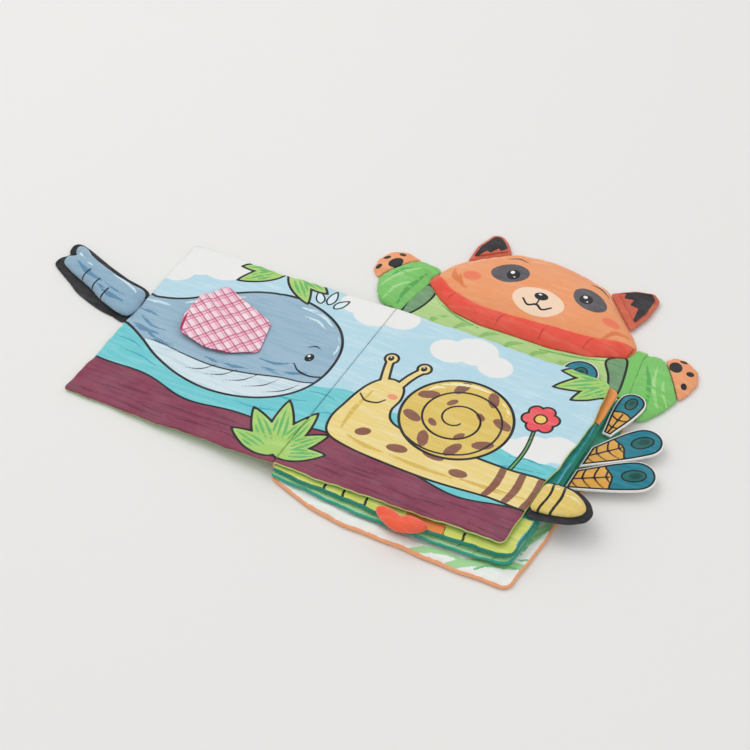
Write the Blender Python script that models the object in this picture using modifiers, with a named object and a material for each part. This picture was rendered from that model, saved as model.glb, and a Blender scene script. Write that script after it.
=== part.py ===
# Crinkle cloth book, lying open at its first spread.
# Metres, +Z up. The origin is on the underside of the back cover, where it meets the table.
# +X runs from the spine to the fore edge, +Y runs from the foot of the page to its head.

import math

import bmesh
import bpy
from mathutils import Matrix, Vector

MM = 0.001

# Driving dimensions, in millimetres
PAGE_WIDTH = 180.0
PAGE_HEIGHT = 185.0
CLOTH = 0.8
FILM = 1.0
GAP = 0.3
LEAF = 2 * CLOTH + FILM + 2 * GAP
LAYER_GAP = 0.4
PITCH = LEAF + LAYER_GAP
HEM = 5.0
CORNER = 9.0
ROOT_GAP = 1.6
LEAVES_RIGHT = 4
AXIS_HEIGHT = LEAVES_RIGHT * PITCH - LAYER_GAP
SPINE_X = -0.5 * PAGE_WIDTH
FOOT_Y = -0.5 * PAGE_HEIGHT

# Slope of each leaf above the table, in degrees, as they fan open from the spine
FAN = {"leaf_three": 0.45, "leaf_two": 0.95, "leaf_one": 1.4}
COVER_DROP = math.degrees(math.asin((AXIS_HEIGHT - LAYER_GAP - LEAF) / PAGE_WIDTH))

FELT = 1.2
SKIN = 0.8
FEATHER_CLOTH = 0.8
FEATHER_BACKING = 1.0

# Depth of each stuffed piece above its backing, in millimetres
FLUKE_DEPTH = 8.5
TAIL_DEPTH = 7.0
HEAD_DEPTH = 13.0
SLEEVE_DEPTH = 6.5
PAW_DEPTH = 7.0
HEART_DEPTH = 3.8

# Page outlines: distance from the spine, height above the foot of the page
LEAF_ONE = [(ROOT_GAP, 0.0), (45.0, 0.0), (PAGE_WIDTH, 5.0), (PAGE_WIDTH, PAGE_HEIGHT), (ROOT_GAP, PAGE_HEIGHT)]
LEAF_TWO = [(ROOT_GAP, -3.0), (30.0, -5.2), (125.0, -6.8), (190.0, 0.5), (188.0, 146.0), (185.5, 186.0),
            (ROOT_GAP, 186.0)]
LEAF_THREE = [(ROOT_GAP, -5.0), (48.0, -9.0), (125.0, -9.5), (190.0, -3.0), (187.3, 146.0), (184.6, 186.5),
              (ROOT_GAP, 186.5)]
BACK_COVER = [(1.3, -3.0), (12.0, -8.5), (30.0, -15.5), (54.0, -19.8), (123.0, -20.6), (197.0, -19.0),
              (204.0, 158.0), (196.5, 163.5), (190.5, 187.0), (1.3, 187.0)]
FRONT_COVER = [(-PAGE_WIDTH, 0.0), (-ROOT_GAP, 0.0), (-ROOT_GAP, PAGE_HEIGHT), (-PAGE_WIDTH, PAGE_HEIGHT)]

# Shoulders, in the frame of the back cover
HEAD_ARC = [(3.0, 232.5), (18.0, 221.0), (33.0, 212.5), (57.0, 209.0), (85.0, 210.5), (116.0, 211.5),
            (145.0, 217.0), (172.0, 229.5)]
HEAD_CROWN = [(175.0, 240.5), (170.0, 249.5), (162.5, 258.0), (131.5, 289.5), (118.0, 295.5), (100.0, 299.5),
              (78.0, 301.0), (60.0, 298.5), (44.5, 293.4), (17.0, 269.4), (6.0, 252.5)]
COLLAR_TOP = [(171.5, 238.0), (135.0, 226.5), (88.0, 221.5), (54.0, 218.5), (30.0, 223.5), (8.0, 236.5)]
FACE_EDGE = [(7.0, 238.5), (30.0, 225.5), (54.0, 220.5), (88.0, 223.5), (135.0, 228.5), (170.0, 240.0),
             (168.0, 248.5), (161.0, 256.5), (146.5, 271.5), (130.5, 287.0), (117.0, 293.5), (100.0, 297.5),
             (78.0, 299.0), (60.5, 296.5), (46.0, 291.5), (32.0, 279.3), (19.0, 268.0), (8.5, 252.0)]
RIGHT_SHOULDER = [(192.3, 187.8), (197.8, 165.0), (211.5, 177.5), (184.2, 233.2)]
LEFT_SLEEVE = [(1.8, 252.5), (-13.5, 251.0), (-33.6, 219.0), (-30.0, 206.0), (-20.0, 193.0), (-4.0, 192.0),
               (-1.4, 213.0), (1.2, 236.0)]
LEFT_PAW = [(-14.2, 252.4), (-28.0, 257.5), (-41.5, 252.5), (-47.5, 240.0), (-45.5, 227.0), (-34.6, 219.6)]
RIGHT_SLEEVE = [(213.2, 179.4), (220.5, 192.0), (223.8, 205.0), (211.0, 222.5), (197.0, 240.2), (185.6, 236.6)]
RIGHT_PAW = [(223.0, 209.0), (228.5, 217.0), (230.0, 230.0), (226.0, 242.5), (213.0, 249.5), (202.0, 248.5),
             (198.4, 241.6)]
LEFT_EAR = [(43.8, 294.2), (36.9, 303.4), (28.9, 309.4), (21.4, 307.9), (16.2, 289.9), (16.3, 270.5)]
LEFT_EAR_INNER = [(35.4, 291.9), (28.9, 301.4), (24.9, 302.4), (20.9, 290.9), (20.4, 279.4)]
RIGHT_EAR = [(163.4, 258.9), (168.2, 278.6), (168.7, 298.6), (161.7, 305.1), (147.2, 301.1), (132.4, 290.3)]
RIGHT_EAR_INNER = [(160.7, 270.1), (163.2, 282.6), (163.2, 295.6), (152.2, 296.6), (142.5, 289.6)]

# Stuffed and loose pieces, in the frame of the page that they are sewn to
FLUKE_BACK = [(-180.6, 85.0), (-180.6, 118.2), (-206.0, 126.0), (-223.0, 131.0), (-240.0, 137.0), (-250.0, 140.5),
              (-260.0, 142.5), (-264.5, 139.0), (-263.5, 131.5), (-261.0, 127.5), (-265.5, 121.0), (-265.2, 113.5),
              (-257.0, 108.0), (-244.0, 101.0), (-232.0, 94.0), (-221.0, 90.0), (-207.0, 86.0), (-194.0, 84.5)]
FLUKE_FACE = [(-182.5, 88.5), (-182.5, 113.0), (-196.0, 117.2), (-217.0, 122.5), (-238.5, 130.0), (-248.5, 136.0),
              (-255.5, 136.8), (-257.5, 131.5), (-253.5, 125.5), (-258.0, 122.5), (-257.5, 115.5), (-250.0, 111.5),
              (-241.0, 108.0), (-223.0, 101.5), (-206.0, 93.5)]
FIN = [(-130.8, 152.0), (-77.8, 129.0), (-69.5, 96.5), (-108.0, 81.5), (-133.5, 87.5), (-139.5, 103.0),
       (-142.0, 128.0)]
TAIL_BACK = [(180.6, 37.0), (196.0, 39.0), (212.0, 44.0), (221.5, 51.5), (223.0, 60.5), (216.5, 69.5),
             (206.0, 75.5), (194.0, 76.5), (180.6, 74.5)]
TAIL_FACE = [(182.5, 42.0), (196.0, 44.0), (209.5, 48.0), (216.8, 54.0), (218.0, 60.5), (212.5, 66.5),
             (203.5, 71.5), (193.0, 72.5), (182.5, 70.5)]
HEART = [(86.5, -6.0), (89.5, -1.8), (97.0, -1.0), (105.5, -3.0), (114.0, -1.0), (123.5, -1.8), (127.0, -6.0),
         (121.5, -12.5), (108.0, -17.5), (93.5, -12.5)]

# Feathers: foot of each one, its direction in degrees from +X, its length, its width, the foot's share of
# the width, and the slant of the foot, which brings it parallel to the edge of the page
FEATHERS = {
    "feather_low": ((190.1, 92.0), 31.5, 62.0, 29.5, 0.62, 0.60),
    "feather_middle": ((190.3, 117.4), 46.0, 59.5, 28.0, 0.55, 1.02),
    "feather_high": ((193.9, 144.5), 85.0, 48.6, 20.8, 0.34, 0.0),
    "feather_top": ((150.0, 187.6), 90.0, 20.0, 29.0, 0.85, 0.0),
}

# Hinge line of each piece that folds: a point on it, in the frame of the page that carries it
HINGES = {
    "fluke": ("front_cover", (-180.0, 100.0, 1.6 - AXIS_HEIGHT)),
    "fin": ("front_cover", (-104.0, 141.2, -0.3)),
    "tail_tip": ("leaf_one", (180.3, 56.0, -0.5 * LEAF)),
    "heart_tab": ("leaf_two", (106.5, -6.6, -AXIS_HEIGHT + 2 * PITCH + LEAF + 0.2)),
    "feather_low": ("leaf_three", (189.8, 92.0, -AXIS_HEIGHT + PITCH + 0.5 * LEAF)),
    "feather_middle": ("leaf_three", (189.8, 117.0, -AXIS_HEIGHT + PITCH + 0.5 * LEAF)),
    "feather_high": ("leaf_three", (187.2, 168.0, -AXIS_HEIGHT + PITCH + 0.5 * LEAF)),
    "feather_top": ("leaf_three", (150.0, 187.1, -AXIS_HEIGHT + PITCH + 0.5 * LEAF)),
    "head": ("back_cover", (90.0, 204.2, 3.4 - AXIS_HEIGHT)),
    "left_ear": ("head", (30.2, 282.0, 2.7 - AXIS_HEIGHT)),
    "right_ear": ("head", (147.45, 274.1, 2.7 - AXIS_HEIGHT)),
    "left_arm": ("back_cover", (-0.5, 221.5, 1.6 - AXIS_HEIGHT)),
    "right_arm": ("back_cover", (198.5, 207.0, 1.6 - AXIS_HEIGHT)),
}

COLORS = {
    "sky": (0.49, 0.72, 0.82),
    "plum": (0.27, 0.05, 0.10),
    "leaf": (0.39, 0.63, 0.16),
    "lime": (0.60, 0.70, 0.10),
    "teal": (0.02, 0.36, 0.28),
    "pale": (0.40, 0.70, 0.33),
    "white": (0.88, 0.90, 0.86),
    "peach": (0.90, 0.42, 0.20),
    "film": (0.80, 0.84, 0.86),
    "thread": (0.85, 0.85, 0.80),
    "velour": (0.34, 0.50, 0.62),
    "felt": (0.02, 0.02, 0.022),
    "wadding": (0.86, 0.86, 0.84),
    "plaid": (0.86, 0.38, 0.50),
    "lining": (0.45, 0.01, 0.06),
    "yellow": (0.75, 0.52, 0.13),
    "coral": (0.90, 0.13, 0.06),
    "feather": (0.02, 0.20, 0.28),
    "orange": (0.88, 0.33, 0.13),
    "rust": (0.62, 0.13, 0.07),
    "sleeve": (0.20, 0.57, 0.13),
}


def clear_scene():
    for old in list(bpy.data.objects):
        bpy.data.objects.remove(old, do_unlink=True)


def new_collection(name):
    group = bpy.data.collections.new(name)
    bpy.context.scene.collection.children.link(group)
    return group


def cloth_material(name, color, roughness=0.85):
    mat = bpy.data.materials.new(name)
    mat.use_nodes = True
    shader = mat.node_tree.nodes["Principled BSDF"]
    shader.inputs["Base Color"].default_value = (*color, 1.0)
    shader.inputs["Roughness"].default_value = roughness
    shader.inputs["Metallic"].default_value = 0.0
    return mat


def add_axis(name, parent, location, slope=0.0):
    """An empty on a joint's axis. The slope lifts the fore edge, in degrees."""
    empty = bpy.data.objects.new(name, None)
    parts.objects.link(empty)
    empty.parent = parent
    empty.location = [value * MM for value in location]
    empty.rotation_euler = (0.0, -math.radians(slope), 0.0)
    return empty


def finish(obj, name, color, parent, roughness=0.85):
    """Name and colour a piece, and hang it on its axis without moving it."""
    obj.name = name
    obj.data.name = name
    obj.data.materials.append(cloth_material(name, COLORS[color], roughness))
    obj.parent = parent
    obj.location = -origins.get(parent.name, Vector())
    return obj


def inset_corners(corners, inset):
    """Move each side of a closed outline inwards by the same distance."""
    count = len(corners)
    area = sum(corners[i][0] * corners[(i + 1) % count][1] - corners[(i + 1) % count][0] * corners[i][1]
               for i in range(count))
    turn = 1.0 if area > 0 else -1.0
    sides = []
    for i in range(count):
        (ax, ay), (bx, by) = corners[i], corners[(i + 1) % count]
        length = math.hypot(bx - ax, by - ay)
        dx, dy = (bx - ax) / length, (by - ay) / length
        sides.append((ax - turn * dy * inset, ay + turn * dx * inset, dx, dy))
    result = []
    for i in range(count):
        px, py, pdx, pdy = sides[i - 1]
        qx, qy, qdx, qdy = sides[i]
        cross = pdx * qdy - pdy * qdx
        along = ((qx - px) * qdy - (qy - py) * qdx) / cross
        result.append((px + pdx * along, py + pdy * along))
    return result


def round_corners(corners, radius, steps=4):
    """Replace each corner by a smooth arc that starts one radius away from it."""
    count = len(corners)
    result = []
    for i in range(count):
        bx, by = corners[i]
        ends = []
        for ox, oy in (corners[i - 1], corners[(i + 1) % count]):
            length = math.hypot(ox - bx, oy - by)
            reach = min(radius, 0.45 * length)
            ends.append((bx + (ox - bx) * reach / length, by + (oy - by) * reach / length))
        for step in range(steps + 1):
            t = step / steps
            wa, wb, wc = (1 - t) ** 2, 2 * t * (1 - t), t * t
            result.append((wa * ends[0][0] + wb * bx + wc * ends[1][0],
                           wa * ends[0][1] + wb * by + wc * ends[1][1]))
    return result


def smooth_loop(points, steps=2):
    """A closed curve through every point, with evenly weighted tangents."""
    count = len(points)
    result = []
    for i in range(count):
        p0, p1, p2, p3 = (points[(i + k) % count] for k in (-1, 0, 1, 2))
        for step in range(steps):
            t = step / steps
            result.append(tuple(
                0.5 * (2 * p1[k] + (p2[k] - p0[k]) * t + (2 * p0[k] - 5 * p1[k] + 4 * p2[k] - p3[k]) * t * t
                       + (3 * p1[k] - p0[k] - 3 * p2[k] + p3[k]) * t ** 3) for k in (0, 1)))
    return result


def plate(name, outline, low, thickness, color, parent, roughness=0.85, bevel=0.0):
    """A flat piece of cloth or felt, as a filled curve with half its thickness extruded each way."""
    data = bpy.data.curves.new(name, "CURVE")
    data.dimensions = "2D"
    data.fill_mode = "BOTH"
    data.extrude = 0.5 * thickness * MM - bevel * MM
    data.bevel_depth = bevel * MM
    data.bevel_resolution = 1
    data.offset = -bevel * MM
    spline = data.splines.new("POLY")
    spline.points.add(len(outline) - 1)
    for point, (x, y) in zip(spline.points, outline):
        point.co = (x * MM, (y + FOOT_Y) * MM, 0.0, 1.0)
    spline.use_cyclic_u = True
    obj = bpy.data.objects.new(name, data)
    parts.objects.link(obj)
    finish(obj, name, color, parent, roughness)
    obj.location.z += (low + 0.5 * thickness) * MM
    return obj


def mesh_piece(name, bm, color, parent, roughness=0.85):
    mesh = bpy.data.meshes.new(name)
    bm.to_mesh(mesh)
    bm.free()
    obj = bpy.data.objects.new(name, mesh)
    parts.objects.link(obj)
    return finish(obj, name, color, parent, roughness)


def outline_face(bm, outline, z):
    verts = [bm.verts.new((x * MM, (y + FOOT_Y) * MM, z * MM)) for x, y in outline]
    return bm.faces.new(verts)


def raise_face(bm, face, depth):
    """Extrude one face along +Z and return the moved face."""
    moved = bmesh.ops.extrude_discrete_faces(bm, faces=[face])["faces"][0]
    bmesh.ops.translate(bm, verts=moved.verts, vec=(0.0, 0.0, depth * MM))
    return moved


def tray(name, outline, pocket, low, color, parent):
    """Lower cloth of a leaf, with the turned-in hem that stands round the crinkle film."""
    bm = bmesh.new()
    face = outline_face(bm, outline, low)
    lifted = bmesh.ops.extrude_face_region(bm, geom=[face], use_keep_orig=True)["geom"]
    moved = [item for item in lifted if isinstance(item, bmesh.types.BMVert)]
    bmesh.ops.translate(bm, verts=moved, vec=(0.0, 0.0, (CLOTH + FILM + GAP) * MM))
    bmesh.ops.recalc_face_normals(bm, faces=bm.faces)
    top = max(bm.faces, key=lambda item: item.calc_center_median().z)
    rim = [Vector((x * MM, (y + FOOT_Y) * MM)) for x, y in outline]
    order = [min(range(len(rim)), key=lambda k: (rim[k] - vert.co.xy).length) for vert in top.verts]
    bmesh.ops.inset_individual(bm, faces=[top], thickness=0.1 * MM, depth=0.0)
    for vert, k in zip(top.verts, order):
        vert.co.x = pocket[k][0] * MM
        vert.co.y = (pocket[k][1] + FOOT_Y) * MM
    raise_face(bm, top, -(FILM + GAP))
    bmesh.ops.recalc_face_normals(bm, faces=bm.faces)
    return mesh_piece(name, bm, color, parent)


def leaf(name, corners, middle, upper_color, lower_color, parent, radius=CORNER):
    """One page: two printed cloths sewn round a sheet of crinkle film."""
    outline = round_corners(corners, radius)
    low = middle - 0.5 * LEAF
    pocket = round_corners(inset_corners(corners, HEM), radius)
    film = round_corners(inset_corners(corners, HEM + 2 * GAP), radius)
    tray(name + "_lower_cloth", outline, pocket, low, lower_color, parent)
    plate(name + "_crinkle_film", film, low + CLOTH + GAP, FILM - GAP, "film", parent, 0.35)
    plate(name + "_upper_cloth", outline, low + CLOTH + FILM + 2 * GAP, CLOTH, upper_color, parent)


def dome(name, outline, low, depth, color, parent, shell=False, down=False, swell=0.3, levels=1):
    """A stuffed form on a flat base. A shell is the same form, open below, with a cloth's thickness."""
    bm = bmesh.new()
    base = outline_face(bm, outline, 0.0)
    lifted = bmesh.ops.extrude_face_region(bm, geom=[base], use_keep_orig=True)
    verts = [item for item in lifted["geom"] if isinstance(item, bmesh.types.BMVert)]
    bmesh.ops.translate(bm, verts=verts, vec=(0.0, 0.0, 0.5 * depth * MM))
    bmesh.ops.recalc_face_normals(bm, faces=bm.faces)
    top = max(bm.faces, key=lambda item: item.calc_center_median().z)
    bottom = min(bm.faces, key=lambda item: item.calc_center_median().z)
    width = min(max(p[k] for p in outline) - min(p[k] for p in outline) for k in (0, 1))
    bmesh.ops.inset_individual(bm, faces=[top], thickness=0.35 * swell * width * MM, depth=0.0)
    bmesh.ops.translate(bm, verts=top.verts, vec=(0.0, 0.0, 0.40 * depth * MM))
    bmesh.ops.inset_individual(bm, faces=[top], thickness=0.45 * swell * width * MM, depth=0.0)
    bmesh.ops.translate(bm, verts=top.verts, vec=(0.0, 0.0, 0.15 * depth * MM))
    if shell:
        bmesh.ops.delete(bm, geom=[bottom], context="FACES_ONLY")
    else:
        crease = bm.edges.layers.float.new("crease_edge")
        for edge in bottom.edges:
            edge[crease] = 1.0
    for vert in bm.verts:
        vert.co.z = low * MM + (-vert.co.z if down else vert.co.z)
    if down:
        bmesh.ops.reverse_faces(bm, faces=bm.faces)
    obj = mesh_piece(name, bm, color, parent)
    obj.data.shade_smooth()
    round_off = obj.modifiers.new("round_off", "SUBSURF")
    round_off.levels = levels
    round_off.render_levels = levels
    if shell:
        wall = obj.modifiers.new("wall", "SOLIDIFY")
        wall.thickness = SKIN * MM
        wall.offset = -1.0
    return obj


def stuffed(name, back, face, low, depth, colors, parent, levels=1):
    """A felt back, wadding and a domed face skin, one above the other."""
    plate(name + "_back", back, low, FELT, colors[0], parent, 0.95)
    base = low + FELT + GAP
    filling = inset_corners(face, 2.9)
    dome(name + "_wadding", filling, base, depth - 1.6, "wadding", parent, levels=levels)
    dome(name + "_face", face, base, depth, colors[1], parent, shell=True, levels=levels)


def feather_side(length, half, foot_share, slant, side):
    """One long side of a feather, from its foot to the start of the round tip."""
    start = side * half * foot_share * slant
    points = []
    for step in range(5):
        t = step / 4
        away = half * (foot_share + (1 - foot_share) * math.sin(0.5 * math.pi * t) ** 1.2)
        points.append((start + (length - half - start) * t, side * away))
    return points


def feather_outline(foot, direction, length, width, foot_share, slant):
    """A drop: narrow at its foot, widest near the tip, closed by a half circle."""
    half = 0.5 * width
    tip = [(length - half + half * math.sin(a), half * math.cos(a))
           for a in (math.radians(degrees) for degrees in (30, 60, 90, 120, 150))]
    near = feather_side(length, half, foot_share, slant, 1)
    far = feather_side(length, half, foot_share, slant, -1)
    local = near + tip + far[::-1]
    c, s = math.cos(math.radians(direction)), math.sin(math.radians(direction))
    return [(foot[0] + u * c - v * s, foot[1] + u * s + v * c) for u, v in reversed(local)]


def build_leaves():
    leaf("back_cover", BACK_COVER, -AXIS_HEIGHT + 0.5 * LEAF, "white", "peach", axes["back_cover"])
    leaf("leaf_three", LEAF_THREE, -AXIS_HEIGHT + PITCH + 0.5 * LEAF, "pale", "teal", axes["leaf_three"])
    leaf("leaf_two", LEAF_TWO, -AXIS_HEIGHT + 2 * PITCH + 0.5 * LEAF, "lime", "teal", axes["leaf_two"])
    leaf("leaf_one", LEAF_ONE, -AXIS_HEIGHT + 3 * PITCH + 0.5 * LEAF, "leaf", "sky", axes["leaf_one"], 7.0)
    leaf("front_cover", FRONT_COVER, -LAYER_GAP - 0.5 * LEAF, "plum", "leaf", axes["front_cover"], 3.0)


def build_spine():
    """A folded strip that stands under the hinge line, with a row of stitches on its outside."""
    half_width = 1.0
    bm = bmesh.new()
    bmesh.ops.create_cube(bm, size=1.0)
    height = AXIS_HEIGHT - 0.8
    bmesh.ops.scale(bm, verts=bm.verts, vec=(2 * half_width * MM, (PAGE_HEIGHT - 3.0) * MM, height * MM))
    bmesh.ops.translate(bm, verts=bm.verts, vec=(0.0, 0.0, (0.5 * height - AXIS_HEIGHT) * MM))
    binding = mesh_piece("spine_binding", bm, "peach", axes["back_cover"])
    rounding = binding.modifiers.new("fold", "BEVEL")
    rounding.width = 0.5 * MM
    rounding.segments = 1
    add_stitching("spine_stitching", half_width + 0.8, 5.5 - AXIS_HEIGHT)


def add_stitching(name, away, middle):
    """One zigzag thread along the outside of the spine."""
    turns = 28
    reach = 1.4
    data = bpy.data.curves.new(name, "CURVE")
    data.dimensions = "3D"
    data.bevel_depth = 0.3 * MM
    data.bevel_resolution = 1
    data.use_fill_caps = True
    spline = data.splines.new("POLY")
    spline.points.add(turns)
    for index, point in enumerate(spline.points):
        along = (index / turns - 0.5) * (PAGE_HEIGHT - 16.0)
        side = reach if index % 2 else -reach
        point.co = (-away * MM, along * MM, (middle + side) * MM, 1.0)
    obj = bpy.data.objects.new(name, data)
    parts.objects.link(obj)
    finish(obj, name, "thread", axes["back_cover"])


def build_fluke():
    """The stuffed two-lobed piece sewn into the fore edge of the front cover. It lies on the table."""
    stuffed("fluke", smooth_loop(FLUKE_BACK, 1), FLUKE_FACE, -AXIS_HEIGHT, FLUKE_DEPTH, ("felt", "velour"),
            axes["fluke"])


def build_fin():
    outline = round_corners(FIN, 4.0, 2)
    plate("fin_lining", outline, -0.1, 0.7, "lining", axes["fin"], 0.9)
    plate("fin_plaid_face", outline, 0.9, 0.7, "plaid", axes["fin"], 0.9)


def build_tail():
    low = -0.5 * LEAF - 1.8
    stuffed("tail_tip", TAIL_BACK, TAIL_FACE, low, TAIL_DEPTH, ("felt", "yellow"), axes["tail_tip"])


def build_heart():
    """A stuffed tab of two halves, sewn to the foot of the second page. It rests on the page's margin."""
    middle = -AXIS_HEIGHT + 2 * PITCH + LEAF + LAYER_GAP + HEART_DEPTH + 0.5 * GAP
    dome("heart_tab_face", HEART, middle + 0.5 * GAP, HEART_DEPTH, "coral", axes["heart_tab"])
    dome("heart_tab_back", HEART, middle - 0.5 * GAP, HEART_DEPTH, "coral", axes["heart_tab"], down=True)


def build_feathers():
    middle = -AXIS_HEIGHT + PITCH + 0.5 * LEAF
    low = middle - 0.5 * (FEATHER_BACKING + GAP + FEATHER_CLOTH)
    for name, shape in FEATHERS.items():
        outline = feather_outline(*shape)
        plate(name + "_backing", outline, low, FEATHER_BACKING, "white", axes[name], 0.95)
        face = inset_corners(outline, 0.6)
        plate(name + "_face", face, low + FEATHER_BACKING + GAP, FEATHER_CLOTH, "feather", axes[name], 0.9)


def build_shoulders():
    """Cloth that joins the head and the arms to the back cover, lying on the table."""
    ground = -AXIS_HEIGHT
    panel = [(-2.4, 193.0), (-2.6, 188.2), (190.6, 188.2), (182.6, 232.8)]
    panel += [(x, y - 0.9) for x, y in reversed(HEAD_ARC)]
    plate("shoulder_panel", panel, ground, LEAF, "pale", axes["back_cover"])
    plate("right_shoulder", RIGHT_SHOULDER, ground, LEAF, "sleeve", axes["back_cover"])


def build_head():
    ground = -AXIS_HEIGHT
    plate("head_back", HEAD_ARC + HEAD_CROWN, ground, 1.0, "orange", axes["head"])
    base = ground + 1.0 + GAP
    plate("collar_band", HEAD_ARC + COLLAR_TOP, base, 2.6, "coral", axes["head"])
    filling = inset_corners(FACE_EDGE, 2.4)
    dome("head_wadding", filling, base, HEAD_DEPTH - 1.8, "wadding", axes["head"], swell=0.5)
    dome("head_face", FACE_EDGE, base, HEAD_DEPTH, "orange", axes["head"], shell=True, swell=0.5)
    for side, ear, inner in (("left", LEFT_EAR, LEFT_EAR_INNER), ("right", RIGHT_EAR, RIGHT_EAR_INNER)):
        axis = axes[side + "_ear"]
        plate(side + "_ear_cloth", round_corners(ear, 3.0, 2), ground + 1.0, 3.4, "rust", axis, bevel=0.8)
        plate(side + "_ear_inner", inner, ground + 4.7, 0.8, "felt", axis, 0.95)


def build_arms():
    ground = -AXIS_HEIGHT
    for side, sleeve, paw in (("left", LEFT_SLEEVE, LEFT_PAW), ("right", RIGHT_SLEEVE, RIGHT_PAW)):
        axis = axes[side + "_arm"]
        dome(side + "_sleeve", round_corners(sleeve, 3.0, 1), ground, SLEEVE_DEPTH, "sleeve", axis)
        dome(side + "_paw", round_corners(paw, 3.5, 1), ground, PAW_DEPTH, "orange", axis)


def build_axes():
    """Empties on the hinge lines. The pages turn about one line at the top of the spine."""
    axes["back_cover"] = add_axis("back_cover_axis", None, (SPINE_X, 0.0, AXIS_HEIGHT))
    below = axes["back_cover"]
    slope = 0.0
    for name in ("leaf_three", "leaf_two", "leaf_one"):
        axes[name] = add_axis(name + "_axis", below, (0.0, 0.0, 0.0), FAN[name] - slope)
        below, slope = axes[name], FAN[name]
    axes["front_cover"] = add_axis("front_cover_axis", axes["back_cover"], (0.0, 0.0, 0.0), COVER_DROP)
    for name, (carrier, point) in HINGES.items():
        point = Vector((point[0], point[1] + FOOT_Y, point[2])) * MM
        parent = axes[carrier]
        empty = add_axis(name + "_axis", parent, (0.0, 0.0, 0.0))
        if name == "fluke":
            level = math.radians(COVER_DROP)
            empty.location = Matrix.Rotation(level, 3, "Y") @ point
            empty.rotation_euler.y = level
        else:
            empty.location = point - origins.get(parent.name, Vector())
        origins[empty.name] = point
        axes[name] = empty


clear_scene()
parts = new_collection("crinkle_cloth_book")
origins = {}
axes = {}
build_axes()
build_leaves()
build_spine()
build_fluke()
build_fin()
build_tail()
build_heart()
build_feathers()
build_shoulders()
build_head()
build_arms()
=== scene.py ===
import math

import bpy
import numpy as np
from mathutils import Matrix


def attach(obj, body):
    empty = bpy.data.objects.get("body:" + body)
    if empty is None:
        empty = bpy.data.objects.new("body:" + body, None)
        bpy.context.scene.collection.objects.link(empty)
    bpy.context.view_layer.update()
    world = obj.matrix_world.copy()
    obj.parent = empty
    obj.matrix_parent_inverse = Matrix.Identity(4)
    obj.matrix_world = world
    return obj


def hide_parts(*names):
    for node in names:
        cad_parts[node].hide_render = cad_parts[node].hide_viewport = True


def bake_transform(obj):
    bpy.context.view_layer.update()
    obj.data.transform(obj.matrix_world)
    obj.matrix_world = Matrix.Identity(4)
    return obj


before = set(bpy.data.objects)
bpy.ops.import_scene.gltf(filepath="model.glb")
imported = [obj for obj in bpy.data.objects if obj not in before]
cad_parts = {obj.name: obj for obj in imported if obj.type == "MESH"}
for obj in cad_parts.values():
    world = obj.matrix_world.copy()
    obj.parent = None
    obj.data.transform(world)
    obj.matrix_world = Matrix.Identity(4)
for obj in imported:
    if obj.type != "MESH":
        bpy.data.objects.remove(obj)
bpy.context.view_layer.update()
print("frame loaded")

# Page millimetres: x from the spine, y above the foot of the page, height above the hinge line
book = {
    "spineX": -90.0,
    "footY": -92.5,
    "hingeHeight": 14.0,
    "leaf": 3.2,        # thickness of one sewn leaf
    "pitch": 3.6,       # from one leaf to the next
    "slopes": {"leaf_three": 0.45, "leaf_two": 0.95, "leaf_one": 1.4, "front_cover": 3.3125},
}


def toFrame(x, y, height, carrier):
    # page millimetres to the frame's metres: a turn about the hinge line by the leaf's slope
    turn = math.radians(book["slopes"].get(carrier, 0.0))
    across = x * math.cos(turn) - height * math.sin(turn)
    up = x * math.sin(turn) + height * math.cos(turn)
    return np.stack([across + book["spineX"], y + book["footY"], up + book["hingeHeight"]], -1) * 0.001


# outlines
def resample(line, steps):
    # points on a line at the given shares of its length
    line = np.asarray(line, float)
    lengths = np.concatenate([[0], np.cumsum(np.hypot(*np.diff(line, axis=0).T))])
    steps = np.asarray(steps) * lengths[-1]
    return np.stack([np.interp(steps, lengths, line[:, k]) for k in range(line.shape[1])], -1)


def smoothLoop(points, steps=8):
    # closed curve through the points: each stretch is a cubic whose slope at a point joins its neighbours
    p = np.asarray(points, float)
    before, after, later = np.roll(p, 1, 0), np.roll(p, -1, 0), np.roll(p, -2, 0)
    t = (np.arange(steps) / steps)[None, :, None]
    a, b, c, d = (q[:, None, :] for q in (before, p, after, later))
    curve = 0.5 * (2 * b + (c - a) * t + (2 * a - 5 * b + 4 * c - d) * t ** 2 + (3 * b - a - 3 * c + d) * t ** 3)
    return curve.reshape(-1, 2)


def roundLoop(points, radius, steps=6):
    # each corner becomes a parabola that starts one radius away from it
    p = np.asarray(points, float)
    toBefore, toAfter = np.roll(p, 1, 0) - p, np.roll(p, -1, 0) - p
    lengthBefore, lengthAfter = (np.hypot(*q.T)[:, None] for q in (toBefore, toAfter))
    start = p + toBefore / lengthBefore * np.minimum(radius, 0.45 * lengthBefore)
    end = p + toAfter / lengthAfter * np.minimum(radius, 0.45 * lengthAfter)
    t = np.linspace(0, 1, steps + 1)[None, :, None]
    return ((1 - t) ** 2 * start[:, None] + 2 * t * (1 - t) * p[:, None] + t ** 2 * end[:, None]).reshape(-1, 2)


def smoothLine(points, steps=8):
    # open curve through the points
    p = np.asarray(points, float)
    closed = smoothLoop(np.vstack([2 * p[0] - p[1], p, 2 * p[-1] - p[-2]]), steps)
    return np.vstack([closed[steps:(len(p)) * steps], p[-1]])


def easedSteps(length, cell, rim):
    # shares from 0 to 1, close together at both ends where the edge rounds over
    edge = np.array([0, 0.07, 0.2, 0.4, 0.65, 1.0]) * rim
    inner = np.linspace(rim, length - rim, max(2, int(round((length - 2 * rim) / cell))) + 1)[1:-1]
    return np.concatenate([edge, inner, length - edge[::-1]]) / length


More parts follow.
